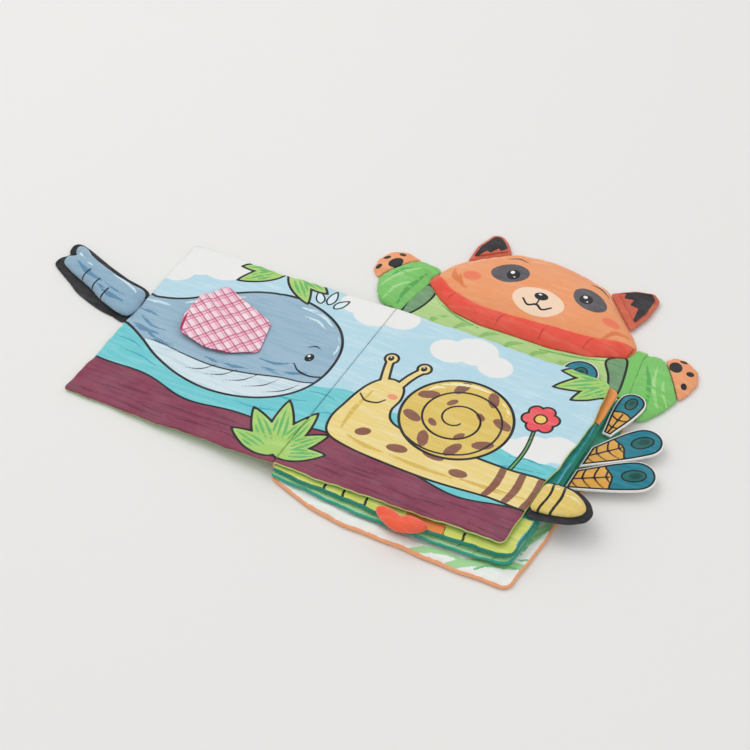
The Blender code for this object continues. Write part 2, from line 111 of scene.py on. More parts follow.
def fourSided(loop, corners, cell, rim=2.0):
    # a grid inside a closed outline: opposite sides are blended and the corners' share is taken off (Coons patch)
    loop = np.asarray(loop, float)
    if np.sum(loop[:, 0] * np.roll(loop[:, 1], -1) - np.roll(loop[:, 0], -1) * loop[:, 1]) < 0:
        loop = loop[::-1]
    picks = [int(np.argmin(np.hypot(*(loop - np.asarray(c)).T))) for c in corners]
    sides = []
    for start, end in zip(picks, picks[1:] + picks[:1]):
        span = (end - start) % len(loop)
        sides.append(loop[(start + np.arange(span + 1)) % len(loop)])
    foot, right, head, left = sides[0], sides[1], sides[2][::-1], sides[3][::-1]
    lengths = [np.hypot(*np.diff(side, axis=0).T).sum() for side in (foot, right, head, left)]
    u = easedSteps(max(lengths[0], lengths[2]), cell, rim)
    v = easedSteps(max(lengths[1], lengths[3]), cell, rim)
    foot, head, left, right = resample(foot, u), resample(head, u), resample(left, v), resample(right, v)
    uu, vv = u[None, :, None], v[:, None, None]
    grid = (1 - vv) * foot[None] + vv * head[None] + (1 - uu) * left[:, None] + uu * right[:, None]
    grid -= (1 - uu) * (1 - vv) * foot[0] + uu * (1 - vv) * foot[-1] + (1 - uu) * vv * head[0] + uu * vv * head[-1]
    return grid


# distances, for rounded edges and for prints
def toSegment(p, a, b):
    # distance from every point to a straight stretch, and how far along it the nearest point lies
    ab = b - a
    t = np.clip(((p - a) @ ab) / (ab @ ab + 1e-12), 0, 1)
    return np.hypot(*(p - a - t[:, None] * ab).T), t


def toLine(p, line):
    # plain distance to an open line
    return np.min([toSegment(p, np.array(a, float), np.array(b, float))[0] for a, b in zip(line, line[1:])], axis=0)


def toLoop(p, loop):
    # signed distance to a closed outline, below zero inside it
    best = np.full(len(p), 1e3)
    inside = np.zeros(len(p), bool)
    x, y = p.T
    for a, b in zip(loop, np.roll(loop, -1, 0)):
        best = np.minimum(best, toSegment(p, a, b)[0])
        if a[1] != b[1]:
            inside ^= ((a[1] > y) != (b[1] > y)) & (x < (b[0] - a[0]) * (y - a[1]) / (b[1] - a[1]) + a[0])
    return np.where(inside, -best, best)


def toStroke(p, line, widths):
    # signed distance to a brush stroke whose width changes evenly from point to point
    line = np.asarray(line, float)
    widths = np.interp(np.linspace(0, 1, len(line)), np.linspace(0, 1, len(widths)), widths)
    low, high = line.min(0) - 8, line.max(0) + 8
    near = np.all((p > low) & (p < high), axis=1)
    best = np.full(len(p), 8.0)
    q = p[near]
    found = np.full(len(q), 8.0)
    for a, b, wa, wb in zip(line, line[1:], widths, widths[1:]):
        d, t = toSegment(q, a, b)
        found = np.minimum(found, d - 0.5 * (wa + (wb - wa) * t))
    best[near] = found
    return best


def toOval(p, centre, radii, tilt=0.0):
    # signed distance to an oval, close enough near its rim
    c, s = math.cos(math.radians(tilt)), math.sin(math.radians(tilt))
    q = (p - np.asarray(centre, float)) @ np.array([[c, -s], [s, c]])
    r = np.asarray(radii, float)
    k = np.hypot(*(q / r).T)
    slope = np.hypot(*(q / r ** 2).T)
    return k * (k - 1) / np.maximum(slope, 1e-6)


def joined(*parts):
    return np.minimum.reduce(parts)


def petal(base, angle, length, width, bend=0.0):
    # outline of a leaf: a drop along an axis that may bend sideways
    t = np.linspace(0, 1, 17)
    half = 0.5 * width * np.sin(math.pi * t ** 0.8) ** 0.8
    side = bend * t ** 2
    u = np.concatenate([t, t[::-1][1:-1]]) * length
    v = np.concatenate([side + half, (side - half)[::-1][1:-1]])
    c, s = math.cos(math.radians(angle)), math.sin(math.radians(angle))
    return np.stack([base[0] + u * c - v * s, base[1] + u * s + v * c], -1)


# meshes
def newPiece(name, points, faces, materials=(), faceMaterial=None):
    mesh = bpy.data.meshes.new(name)
    mesh.from_pydata(points.tolist(), [], faces.tolist())
    for material in materials:
        mesh.materials.append(material)
    if faceMaterial is not None:
        mesh.polygons.foreach_set("material_index", faceMaterial.astype(np.int32))
    mesh.shade_smooth()
    mesh.update()
    piece = bpy.data.objects.new(name, mesh)
    bpy.context.scene.collection.objects.link(piece)
    return piece


def closedSkin(name, top, bottom, materials):
    # two grids of one size, the upper facing up and the lower facing down, sharing the points of their rim
    rows, cols = top.shape[:2]
    upper = np.arange(rows * cols).reshape(rows, cols)
    inner = np.zeros((rows, cols), bool)
    inner[1:-1, 1:-1] = True
    lower = upper.copy()
    lower[inner] = rows * cols + np.arange(inner.sum())
    points = np.concatenate([top.reshape(-1, 3), bottom[inner]])
    up = np.stack([upper[:-1, :-1], upper[:-1, 1:], upper[1:, 1:], upper[1:, :-1]], -1).reshape(-1, 4)
    down = np.stack([lower[:-1, :-1], lower[1:, :-1], lower[1:, 1:], lower[:-1, 1:]], -1).reshape(-1, 4)
    index = np.repeat([0, len(materials) - 1], [len(up), len(down)])
    return newPiece(name, points, np.concatenate([up, down]), materials, index)


def pagePoints(piece, carrier="table"):
    # where each of a piece's points lies, in page millimetres
    points = np.empty(len(piece.data.vertices) * 3)
    piece.data.vertices.foreach_get("co", points)
    x, y, z = (points.reshape(-1, 3) * 1000 - [book["spineX"], book["footY"], book["hingeHeight"]]).T
    turn = math.radians(book["slopes"].get(carrier, 0.0))
    return np.stack([x * math.cos(turn) + z * math.sin(turn), y], -1)


def setField(piece, name, values):
    # one number per point, which the print materials cut into shapes
    attribute = piece.data.attributes.new(name, "FLOAT", "POINT")
    attribute.data.foreach_set("value", np.ascontiguousarray(values, np.float32))


def rounded(distance, radius):
    # height of a quarter circle's edge: 0 at the rim, 1 from one radius inwards
    return np.sqrt(1 - (1 - np.clip(distance / radius, 0, 1)) ** 2)


def softWave(x, y):
    # slow ripple of the sewn leaves. It changes sign with x, so that pages still nest when they are turned
    across = np.abs(x)
    window = np.clip(across / 40, 0, 1) * np.clip((172 - across) / 30, 0, 1)
    return np.sign(x) * window * (0.35 + 0.22 * np.sin(across / 19 + 0.6) * np.cos(y / 24) + 0.12 * np.sin(y / 11))


def settle(piece, body, slot, *nodes):
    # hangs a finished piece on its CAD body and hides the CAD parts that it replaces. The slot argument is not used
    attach(piece, body)
    if nodes:
        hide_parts(*nodes)
    return piece


# materials
def colour(code, alpha=1.0):
    values = [int(code[k:k + 2], 16) / 255 for k in (1, 3, 5)]
    return (*[v / 12.92 if v <= 0.04045 else ((v + 0.055) / 1.055) ** 2.4 for v in values], alpha)


finishes = {
    "print": {"roughness": 0.72, "sheen": 0.15, "weave": 0.42, "weaveDepth": 0.10, "fuzz": 0.0},
    "velour": {"roughness": 0.95, "sheen": 0.55, "weave": 0.0, "weaveDepth": 0.0, "fuzz": 0.55},
    "felt": {"roughness": 0.97, "sheen": 0.30, "weave": 0.0, "weaveDepth": 0.0, "fuzz": 0.9},
    "plainCloth": {"roughness": 0.85, "sheen": 0.22, "weave": 0.5, "weaveDepth": 0.16, "fuzz": 0.15},
}


class Nodes:
    # small helper that adds and joins a material's nodes
    def __init__(self, name):
        self.material = bpy.data.materials.new(name)
        self.material.use_nodes = True
        self.tree = self.material.node_tree
        self.shader = self.tree.nodes["Principled BSDF"]
        self.place = self.add("ShaderNodeTexCoord").outputs["Object"]

    def add(self, kind, **settings):
        made = self.tree.nodes.new(kind)
        for key, value in settings.items():
            setattr(made, key, value)
        return made

    def feed(self, socket, value):
        if isinstance(value, bpy.types.NodeSocket):
            self.tree.links.new(value, socket)
        else:
            socket.default_value = value

    def math(self, kind, a, b=0.0):
        made = self.add("ShaderNodeMath", operation=kind)
        self.feed(made.inputs[0], a)
        self.feed(made.inputs[1], b)
        return made.outputs[0]

    def mix(self, share, a, b):
        made = self.add("ShaderNodeMix", data_type="RGBA")
        self.feed(made.inputs[0], share)
        self.feed(made.inputs[6], a)
        self.feed(made.inputs[7], b)
        return made.outputs[2]

    def ramp(self, value, low, high):
        # 0 below low, 1 above high, or the other way round where low is the larger
        made = self.add("ShaderNodeMapRange")
        self.feed(made.inputs["Value"], value)
        made.inputs["From Min"].default_value = low
        made.inputs["From Max"].default_value = high
        return made.outputs["Result"]

    def noise(self, scale, detail=2.0, stretch=None, turn=0.0):
        # cloudy noise in the piece's own metres, drawn out along one direction where stretch is given
        place = self.place
        if stretch is not None:
            made = self.add("ShaderNodeMapping")
            made.inputs["Scale"].default_value = stretch
            made.inputs["Rotation"].default_value = (0, 0, math.radians(turn))
            self.feed(made.inputs["Vector"], place)
            place = made.outputs[0]
        made = self.add("ShaderNodeTexNoise")
        self.feed(made.inputs["Vector"], place)
        made.inputs["Scale"].default_value = scale
        made.inputs["Detail"].default_value = detail
        return made.outputs["Fac"]

    def wave(self, direction, pitch):
        # threads, pitch millimetres apart
        made = self.add("ShaderNodeTexWave", bands_direction=direction)
        self.feed(made.inputs["Vector"], self.place)
        made.inputs["Scale"].default_value = math.tau / (20 * pitch * 0.001)
        return made.outputs["Fac"]

    def field(self, name):
        return self.add("ShaderNodeAttribute", attribute_name=name).outputs["Fac"]


def clothFinish(nodes, base, finish):
    # weave or nap as bump, small changes of shade, and the cloth's soft gloss
    look = finishes[finish]
    blotch = nodes.ramp(nodes.noise(55.0, 3.0), 0.3, 0.7)
    base = nodes.mix(nodes.math("MULTIPLY", blotch, 0.07), base, nodes.mix(0.5, base, (1, 1, 1, 1)))
    height = nodes.noise(150.0, 3.0)
    height = nodes.math("MULTIPLY", height, 0.0012)
    if look["weave"]:
        threads = nodes.math("MULTIPLY", nodes.wave("X", look["weave"]), nodes.wave("Y", look["weave"]))
        height = nodes.math("ADD", height, nodes.math("MULTIPLY", threads, look["weaveDepth"] * 0.001))
        base = nodes.mix(nodes.math("MULTIPLY", threads, 0.10), base, nodes.mix(0.12, base, (0, 0, 0, 1)))
    if look["fuzz"]:
        nap = nodes.noise(1500.0, 4.0)
        height = nodes.math("ADD", height, nodes.math("MULTIPLY", nap, look["fuzz"] * 0.0006))
        patch = nodes.ramp(nodes.noise(420.0, 4.0), 0.35, 0.65)
        base = nodes.mix(nodes.math("MULTIPLY", patch, 0.22 * look["fuzz"]), base, nodes.mix(0.35, base, (0, 0, 0, 1)))
    bump = nodes.add("ShaderNodeBump")
    bump.inputs["Strength"].default_value = 0.55
    bump.inputs["Distance"].default_value = 1.0
    nodes.feed(bump.inputs["Height"], height)
    nodes.feed(nodes.shader.inputs["Normal"], bump.outputs["Normal"])
    nodes.feed(nodes.shader.inputs["Base Color"], base)
    nodes.shader.inputs["Roughness"].default_value = look["roughness"]
    nodes.shader.inputs["Specular IOR Level"].default_value = 0.25
    nodes.shader.inputs["Sheen Weight"].default_value = look["sheen"]
    nodes.shader.inputs["Sheen Roughness"].default_value = 0.4
    return nodes.material


ink = "#1A1A1E"


def layer(field, fill, **more):
    # one layer of a print: the distance that it is drawn from, its colour, and what else printMaterial reads
    return {"field": field, "fill": fill, **more}


def printMaterial(name, ground, layers, finish="print", streaks=("#FFFFFF", 0.10), turn=12.0):
    # a print as a pile of shapes. Each layer is cut from a field: below zero is inside, and a line runs along zero
    nodes = Nodes(name)
    brush = nodes.noise(38.0, 3.0, stretch=(1.0, 9.0, 1.0), turn=turn)
    ragged = nodes.math("MULTIPLY", nodes.math("SUBTRACT", nodes.noise(420.0, 2.0), 0.5), 2.2)
    base = nodes.mix(nodes.math("MULTIPLY", nodes.ramp(brush, 0.50, 0.66), streaks[1]), colour(ground),
                     colour(streaks[0]))
    for shape in layers:
        value = nodes.field(shape["field"])
        if shape.get("ragged"):
            value = nodes.math("ADD", value, nodes.math("MULTIPLY", ragged, shape["ragged"]))
        half = 0.5 * shape.get("line", 0.0)
        soft = shape.get("soft", 0.14)
        if half:
            base = nodes.mix(nodes.ramp(value, half + soft, half - soft), base, colour(ink))
        fill = colour(shape["fill"])
        if shape.get("streak"):
            tone, share = shape["streak"]
            fill = nodes.mix(nodes.math("MULTIPLY", nodes.ramp(brush, 0.46, 0.62), share), fill, colour(tone))
        share = nodes.ramp(value, soft - half, -soft - half)
        if shape.get("dry"):
            # dry brush: the paint breaks into streaks
            share = nodes.math("MULTIPLY", share, nodes.ramp(brush, shape["dry"], shape["dry"] + 0.07))
        base = nodes.mix(share, base, fill)
    return clothFinish(nodes, base, finish)


def plainMaterial(name, tone, finish, streaks=None):
    return printMaterial(name, tone, [], finish, streaks or (tone, 0.0))


# camera, floor and light
studio = {
    "target": (-0.0760, 0.0326, 0.0),
    "distance": 1.790,
    "azimuth": 28.82,
    "elevation": 43.99,
    "lens": 115.2,          # millimetres on a 36 mm sensor
    "floorTone": "#E6E5E3",
    "backdropTone": "#EDECEA",
    "sky": 0.80,
    "keyPower": 12.5,
    "fillPower": 3.4,
}


def addCamera():
    azimuth, elevation = math.radians(studio["azimuth"]), math.radians(studio["elevation"])
    away = np.array([math.cos(elevation) * math.sin(azimuth), -math.cos(elevation) * math.cos(azimuth),
                     math.sin(elevation)])
    camera = bpy.data.objects.new("camera", bpy.data.cameras.new("camera"))
    camera.data.lens = studio["lens"]
    camera.data.sensor_width = 36.0
    camera.data.clip_start = 0.01
    camera.location = np.array(studio["target"]) + studio["distance"] * away
    camera.rotation_euler = (0.5 * math.pi - elevation, 0.0, azimuth)
    bpy.context.scene.collection.objects.link(camera)
    bpy.context.scene.camera = camera


def addFloor():
    # a flat floor whose edge rises slowly into the background: height grows with the square of the way past 1.5 m
    steps = np.linspace(-4, 4, 41)
    x, y = np.meshgrid(steps, steps)
    r = np.hypot(x, y)
    z = 0.35 * np.clip(r - 2.0, 0, None) ** 2
    index = np.arange(41 * 41).reshape(41, 41)
    faces = np.stack([index[:-1, :-1], index[:-1, 1:], index[1:, 1:], index[1:, :-1]], -1).reshape(-1, 4)
    nodes = Nodes("studioFloor")
    seen = nodes.add("ShaderNodeLightPath")
    share = nodes.math("MAXIMUM", seen.outputs["Is Camera Ray"], seen.outputs["Is Glossy Ray"])
    nodes.feed(nodes.shader.inputs["Base Color"], nodes.mix(share, colour(studio["floorTone"]),
                                                            colour(studio["backdropTone"])))
    nodes.shader.inputs["Roughness"].default_value = 0.95
    nodes.shader.inputs["Specular IOR Level"].default_value = 0.0
    floor = newPiece("studioFloor", np.stack([x, y, z - 0.0004], -1).reshape(-1, 3), faces, [nodes.material])


def addLight(name, place, size, power):
    lamp = bpy.data.objects.new(name, bpy.data.lights.new(name, "AREA"))
    lamp.data.shape = "SQUARE"
    lamp.data.size = size
    lamp.data.energy = power
    lamp.location = place
    aim = np.array(studio["target"]) - np.array(place)
    lamp.rotation_euler = (math.atan2(math.hypot(aim[0], aim[1]), -aim[2]), 0.0,
                           math.atan2(aim[1], aim[0]) - 0.5 * math.pi)
    bpy.context.scene.collection.objects.link(lamp)


def addStudio():
    addCamera()
    addFloor()
    addLight("softKey", (-1.3, 0.5, 1.9), 1.6, studio["keyPower"])
    addLight("softFill", (1.4, -1.2, 1.7), 1.8, studio["fillPower"])
    world = bpy.data.worlds.new("studioWorld")
    world.use_nodes = True
    world.node_tree.nodes["Background"].inputs["Color"].default_value = (1, 1, 1, 1)
    world.node_tree.nodes["Background"].inputs["Strength"].default_value = studio["sky"]
    bpy.context.scene.world = world
    bpy.context.scene.view_settings.view_transform = "Standard"
    print("studio ready")


addStudio()


# the spread's picture
tones = {
    "sky": "#B9DDEB", "cloud": "#F0F0EE", "sea": "#6CCBD3", "seaStroke": "#46B4C0", "shore": "#8E4159",
    "grain": "#6F2E45",
    "leaf": "#A9D36F", "leafStroke": "#6DBB6B", "whale": "#9DBCD0", "whaleShade": "#5E8FB0", "whaleLight": "#CFEAF2",
    "belly": "#D9E9F0", "snail": "#F0D786", "shell": "#E3C463", "brown": "#8A5A48", "flower": "#F0505A",
    "white": "#F7F7F5",
}

whaleOutline = smoothLoop([(-190, 84), (-176, 81), (-158, 72), (-138, 60), (-112, 50), (-84, 46), (-56, 50), (-33, 61),
                           (-18, 78), (-12, 100), (-15, 126), (-28, 146), (-50, 159), (-76, 164), (-104, 158),
                           (-130, 143),
                           (-152, 126), (-172, 118), (-190, 117)], 6)
bellyOutline = smoothLoop([(-15, 84), (-22, 82), (-42, 80), (-66, 74), (-92, 70), (-118, 71), (-140, 73), (-156, 72),
                           (-138, 60),
                           (-112, 50), (-84, 46), (-56, 50), (-33, 61), (-18, 78)], 5)
snailOutline = smoothLoop([(20, 43), (40, 37), (70, 35), (110, 35), (150, 39), (190, 42), (190, 71), (150, 70),
                           (110, 70),
                           (72, 70), (56, 74), (50, 84), (51, 97), (47, 109), (37, 114), (27, 109), (20, 96), (16, 76),
                           (14, 58)], 6)


def shoreLine(x):
    # height of the shore: a slow wave along the spread
    return 36 + 5 * np.sin(x / 31 + 0.8) + 2 * np.sin(x / 12)


def brushMarks(p, marks):
    # several strokes: start, end, how far the middle swings aside, and width
    found = []
    for x0, y0, x1, y1, swing, width in marks:
        a, b = np.array([x0, y0], float), np.array([x1, y1], float)
        side = np.array([-(b - a)[1], (b - a)[0]]) / max(np.hypot(*(b - a)), 1e-6) * swing
        found.append(toStroke(p, smoothLine([a, 0.5 * (a + b) + side, b], 5), [0.4 * width, width, 0.3 * width]))
    return joined(*found)


leafFans = [
    ((-4, 6), [(158, 44, 17, 4), (132, 54, 18, 3), (108, 58, 18, 0), (84, 52, 17, -3), (58, 44, 16, -4),
               (30, 38, 15, -3)]),
    ((186, 190), [(188, 46, 17, 4), (212, 52, 17, 2), (238, 44, 16, -3)]),
    ((-96, 192), [(196, 40, 15, 3), (222, 44, 16, 0), (318, 44, 16, -2), (344, 42, 15, -3)]),
]


def leafFields(p):
    outlines, veins = [], []
    for base, blades in leafFans:
        for angle, length, width, bend in blades:
            shape = petal(base, angle, length, width, bend)
            outlines.append(toLoop(p, shape))
            c, s = math.cos(math.radians(angle)), math.sin(math.radians(angle))
            for lane, reach, start in ((-0.2, 0.74, 0.3), (0.05, 0.86, 0.34), (0.26, 0.66, 0.42)):
                t = np.linspace(start, reach, 6)
                v = bend * t ** 2 + lane * width * np.sin(math.pi * t)
                line = np.stack([base[0] + length * t * c - v * s, base[1] + length * t * s + v * c], -1)
                veins.append(toStroke(p, line, [1.2, 2.6, 0.8]))
    return outlines, joined(*veins)


def commonFields(p):
    x, y = p.T
    clouds = [toOval(p, c, (r, 0.8 * r)) for c, r in (
        ((-168, 168), 20), ((-146, 174), 22), ((-178, 152), 16), ((-30, 178), 14), ((-12, 172), 17), ((8, 176), 16),
        ((58, 160), 15), ((76, 168), 18), ((96, 160), 14), ((160, 96), 17), ((176, 104), 16), ((146, 90), 12))]
    fields = {"cloud": joined(*clouds)}
    fields["sea"] = y - (84 + 2.5 * np.sin(x / 9) + 2 * np.sin(x / 23 + 1))
    ripples = [(-176, 66, -150, 62, 2, 2.2), (-168, 56, -130, 50, 2, 2.0), (-40, 62, -8, 66, -2, 2.2),
               (-60, 44, -24, 48, -2, 2.0),
               (-14, 76, 12, 74, 2, 2.0), (120, 60, 178, 78, 3, 2.2), (146, 82, 176, 84, 2, 2.0),
               (4, 58, 18, 60, 2, 2.0)]
    fields["seaStroke"] = brushMarks(p, ripples)
    fields["shore"] = y - shoreLine(x)
    grain = []
    for k in range(26):
        x0 = -182 + 14.4 * k
        y0 = 5 + (k * 7) % 19 + 3 * math.sin(k)
        grain.append((x0, y0, x0 + 30 + (k % 4) * 6, y0 + 3 * math.sin(k * 1.3), 1.2 * math.cos(k), 1.7))
    fields["grain"] = np.maximum(brushMarks(p, grain), y - shoreLine(x) + 3)
    return fields


def leftPicture(p):
    # sea, shore and a whale whose stuffed tail is the tab at the fore edge
    fields = commonFields(p)
    fields["whale"] = toLoop(p, whaleOutline)
    fields["belly"] = np.maximum(toLoop(p, bellyOutline), fields["whale"] + 1.0)
    shade = [(-178, 88, -150, 82, -3, 5), (-172, 94, -146, 88, -3, 3), (-158, 80, -128, 76, -3, 4),
             (-60, 84, -26, 92, -3, 5),
             (-66, 92, -40, 98, -3, 3), (-178, 100, -160, 99, 1, 3), (-104, 76, -66, 80, -3, 4)]
    fields["whaleShade"] = np.maximum(brushMarks(p, shade), fields["whale"] + 2.2)
    light = [(-150, 121, -112, 148, 3, 4.0), (-142, 118, -118, 136, 3, 2.4), (-66, 156, -34, 146, 4, 4.0),
             (-60, 148, -36, 140, 3, 2.4), (-182, 110, -158, 114, 1, 3.2), (-24, 138, -18, 118, 3, 3.0)]
    fields["whaleLight"] = np.maximum(brushMarks(p, light), fields["whale"] + 2.2)
    grooves = [toStroke(p, smoothLine([(-24 - 17 * k, 79 - 1.6 * k), (-32 - 17 * k, 68 - 1.2 * k),
                                       (-46 - 17 * k, 60 - 0.4 * k)], 5),
                        [0.5, 1.2, 0.4]) for k in range(5)]
    edge = toStroke(p, smoothLine([(-13, 86), (-24, 82), (-42, 80), (-66, 74), (-92, 70), (-118, 71), (-142, 74),
                                   (-157, 74)], 6),
                    [1.2, 1.6, 0.8])
    smile = toStroke(p, smoothLine([(-12, 93), (-22, 90), (-33, 92), (-40, 98)], 6), [1.6, 1.8, 1.2])
    brow = toStroke(p, smoothLine([(-39, 118), (-34, 121), (-28, 119)], 5), [0.8, 1.6, 0.6])
    eye = toOval(p, (-32.5, 108), (3.6, 4.4))
    fields["whaleInk"] = np.maximum(joined(*grooves, edge, smile, brow, eye), fields["whale"] - 0.5)
    fields["whaleGlint"] = joined(toOval(p, (-33.6, 109.6), (1.2, 1.3)), toOval(p, (-31.4, 106.4), (0.6, 0.6)))
    drops = [petal((-56, 166), 118, 14, 6.5, 1.5), petal((-50, 167), 92, 16, 7, 0),
             petal((-44, 165), 64, 14, 6.5, -1.5)]
    fields["spout"] = joined(*[toLoop(p, drop) for drop in drops])
    blades, veins = leafFields(p)
    fields["leaf"] = joined(*blades)
    fields["leafStroke"] = veins
    return fields


shellCentre, shellReach = np.array([96.0, 98.0]), 42.0


def shellSpiral():
    # the coil's line: its radius shrinks evenly as it turns inwards
    turn = np.linspace(0, 4.6 * math.pi, 110)
    r = shellReach * (1 - 0.88 * (turn / turn[-1]) ** 0.85)
    return shellCentre + np.stack([r * np.cos(turn - 2.2), 0.96 * r * np.sin(turn - 2.2)],
                                  -1) * np.clip(turn / 1.2, 0.985, 1)[:, None]


def rightPicture(p):
    # shore, leaves and a snail whose stuffed tail is the tab at the fore edge
    fields = commonFields(p)
    stalks = [toStroke(p, smoothLine(line, 5), [6.5, 5.5]) for line in ([(31, 108), (27, 120), (24, 131)],
                                                                        [(43, 109), (46, 121), (51, 132)])]
    balls = [toOval(p, (24, 133), (5.2, 5.2)), toOval(p, (51, 134), (5.2, 5.2))]
    fields["snail"] = joined(toLoop(p, snailOutline), *stalks, *balls)
    body = [(26, 52, 28, 96, 2, 4), (34, 48, 66, 44, -2, 4), (70, 44, 120, 44, -1, 4), (126, 46, 176, 50, -1, 4)]
    fields["snailShade"] = np.maximum(brushMarks(p, body), fields["snail"] + 2.2)
    bands = [toStroke(p, smoothLine([(xc - 1, 36), (xc + 2, 54), (xc, 74)], 4), [4.5, 6, 5]) for xc in (148, 163, 177)]
    spots = [toOval(p, c, r, t) for c, r, t in (((72, 52), (8, 4), 10), ((98, 58), (9, 4), -5),
                                                ((122, 50), (7, 4), 8), ((42, 56), (6, 4), 30))]
    fields["snailBand"] = np.maximum(joined(*bands, *spots), fields["snail"] + 1.0)
    disc = toOval(p, shellCentre, (shellReach, 0.96 * shellReach))
    fields["shell"] = disc
    spiral = shellSpiral()
    patches = []
    for turn, reach in ((0.3, 0.80), (1.1, 0.80), (1.9, 0.79), (2.7, 0.78), (3.5, 0.77), (4.3, 0.74), (5.1, 0.74),
                        (5.8, 0.78)):
        c, s = math.cos(turn), math.sin(turn)
        patches.append(toOval(p, shellCentre + shellReach * reach * np.array([c, s]), (8.2, 4.2), -math.degrees(turn)))
    for turn in (0.6, 2.2, 3.8, 5.3):
        c, s = math.cos(turn), math.sin(turn)
        patches.append(toOval(p, shellCentre + shellReach * 0.42 * np.array([c, s]), (4.6, 2.6), -math.degrees(turn)))
    fields["shellPatch"] = np.maximum(joined(*patches), disc + 1.4)
    fields["shellLight"] = np.maximum(brushMarks(p,
                                                 [(70, 126, 106, 134, 4, 4), (64, 116, 74, 124, 2, 3),
                                                  (118, 128, 128, 116, 3, 3)]), disc + 2.5)
    smile = toStroke(p, smoothLine([(21, 90), (28, 85), (37, 87), (41, 92)], 6), [1.4, 1.8, 1.2])
    eyes = [toOval(p, (23.4, 133), (2.3, 2.8)), toOval(p, (50.6, 134), (2.3, 2.8))]
    fields["snailInk"] = joined(smile, *eyes, toStroke(p, spiral[:-2], [1.6, 1.8, 1.5]))
    fields["snailGlint"] = joined(toOval(p, (22.8, 134.2), (0.8, 0.9)), toOval(p, (50.0, 135.2), (0.8, 0.9)))
    fields["blush"] = toOval(p, (44, 97), (4.0, 2.8))
    fields["stem"] = toStroke(p, smoothLine([(152, 64), (154, 92), (150, 118)], 6), [2.6, 2.2])
    ring = [toOval(p, (150 + 8.4 * math.cos(a), 126 + 8.4 * math.sin(a)),
                   (5.6, 5.6)) for a in np.arange(6) * math.tau / 6 + 0.3]
    fields["flower"] = joined(*ring)
    fields["flowerHeart"] = toOval(p, (150, 126), (4.6, 4.6))
    blades, veins = leafFields(p)
    fields["leaf"] = joined(*blades)
    fields["leafStroke"] = veins
    return fields


backgroundLayers = [
    layer("cloud", tones["cloud"], soft=0.5),
    layer("sea", tones["sea"], streak=("#8FDCE0", 0.5), ragged=0.5),
    layer("seaStroke", tones["seaStroke"], ragged=0.4),
    layer("shore", tones["shore"], line=1.7, streak=("#7C3650", 0.8)),
    layer("grain", tones["grain"], ragged=0.5),
]
leafLayers = [
    layer("leaf", tones["leaf"], line=1.9, streak=("#BFE08A", 0.5)),
    layer("leafStroke", tones["leafStroke"], ragged=0.4, dry=0.34),
]
leftLayers = backgroundLayers + [
    layer("spout", "#DDF1F7", line=1.3),
    layer("whale", tones["whale"], line=2.2, streak=("#8FB2C8", 0.7)),
    layer("belly", tones["belly"], streak=("#BFD8E4", 0.7)),
    layer("whaleShade", tones["whaleShade"], ragged=0.8, dry=0.38),
    layer("whaleLight", tones["whaleLight"], ragged=0.8, dry=0.36),
    layer("whaleInk", ink),
    layer("whaleGlint", tones["white"]),
] + leafLayers
rightLayers = backgroundLayers + [
    layer("stem", tones["leafStroke"], line=1.2),
    layer("flower", tones["flower"], line=1.7, streak=("#F4787A", 0.6)),
    layer("flowerHeart", "#F3D066", line=1.4),
    layer("snail", tones["snail"], line=2.0, streak=("#F7E6AE", 0.6)),
    layer("snailShade", "#DDBB5A", ragged=0.7, dry=0.38),
    layer("snailBand", tones["brown"], ragged=0.3, streak=("#9C6A54", 0.6)),
    layer("blush", "#F29B77"),
    layer("shell", tones["shell"], line=2.2, streak=("#EBD27C", 0.6)),
    layer("shellPatch", tones["brown"], ragged=0.4, streak=("#9C6A54", 0.6)),
    layer("shellLight", "#F8EDC0", ragged=0.6, dry=0.36),
    layer("snailInk", ink),
    layer("snailGlint", tones["white"]),
] + leafLayers

leftPrint = printMaterial("leftPagePrint", tones["sky"], leftLayers, streaks=("#D3EBF3", 0.55))
rightPrint = printMaterial("rightPagePrint", tones["sky"], rightLayers + [layer("rim", "#C9D873")],
                           streaks=("#D3EBF3", 0.55))
print("spread's print ready")


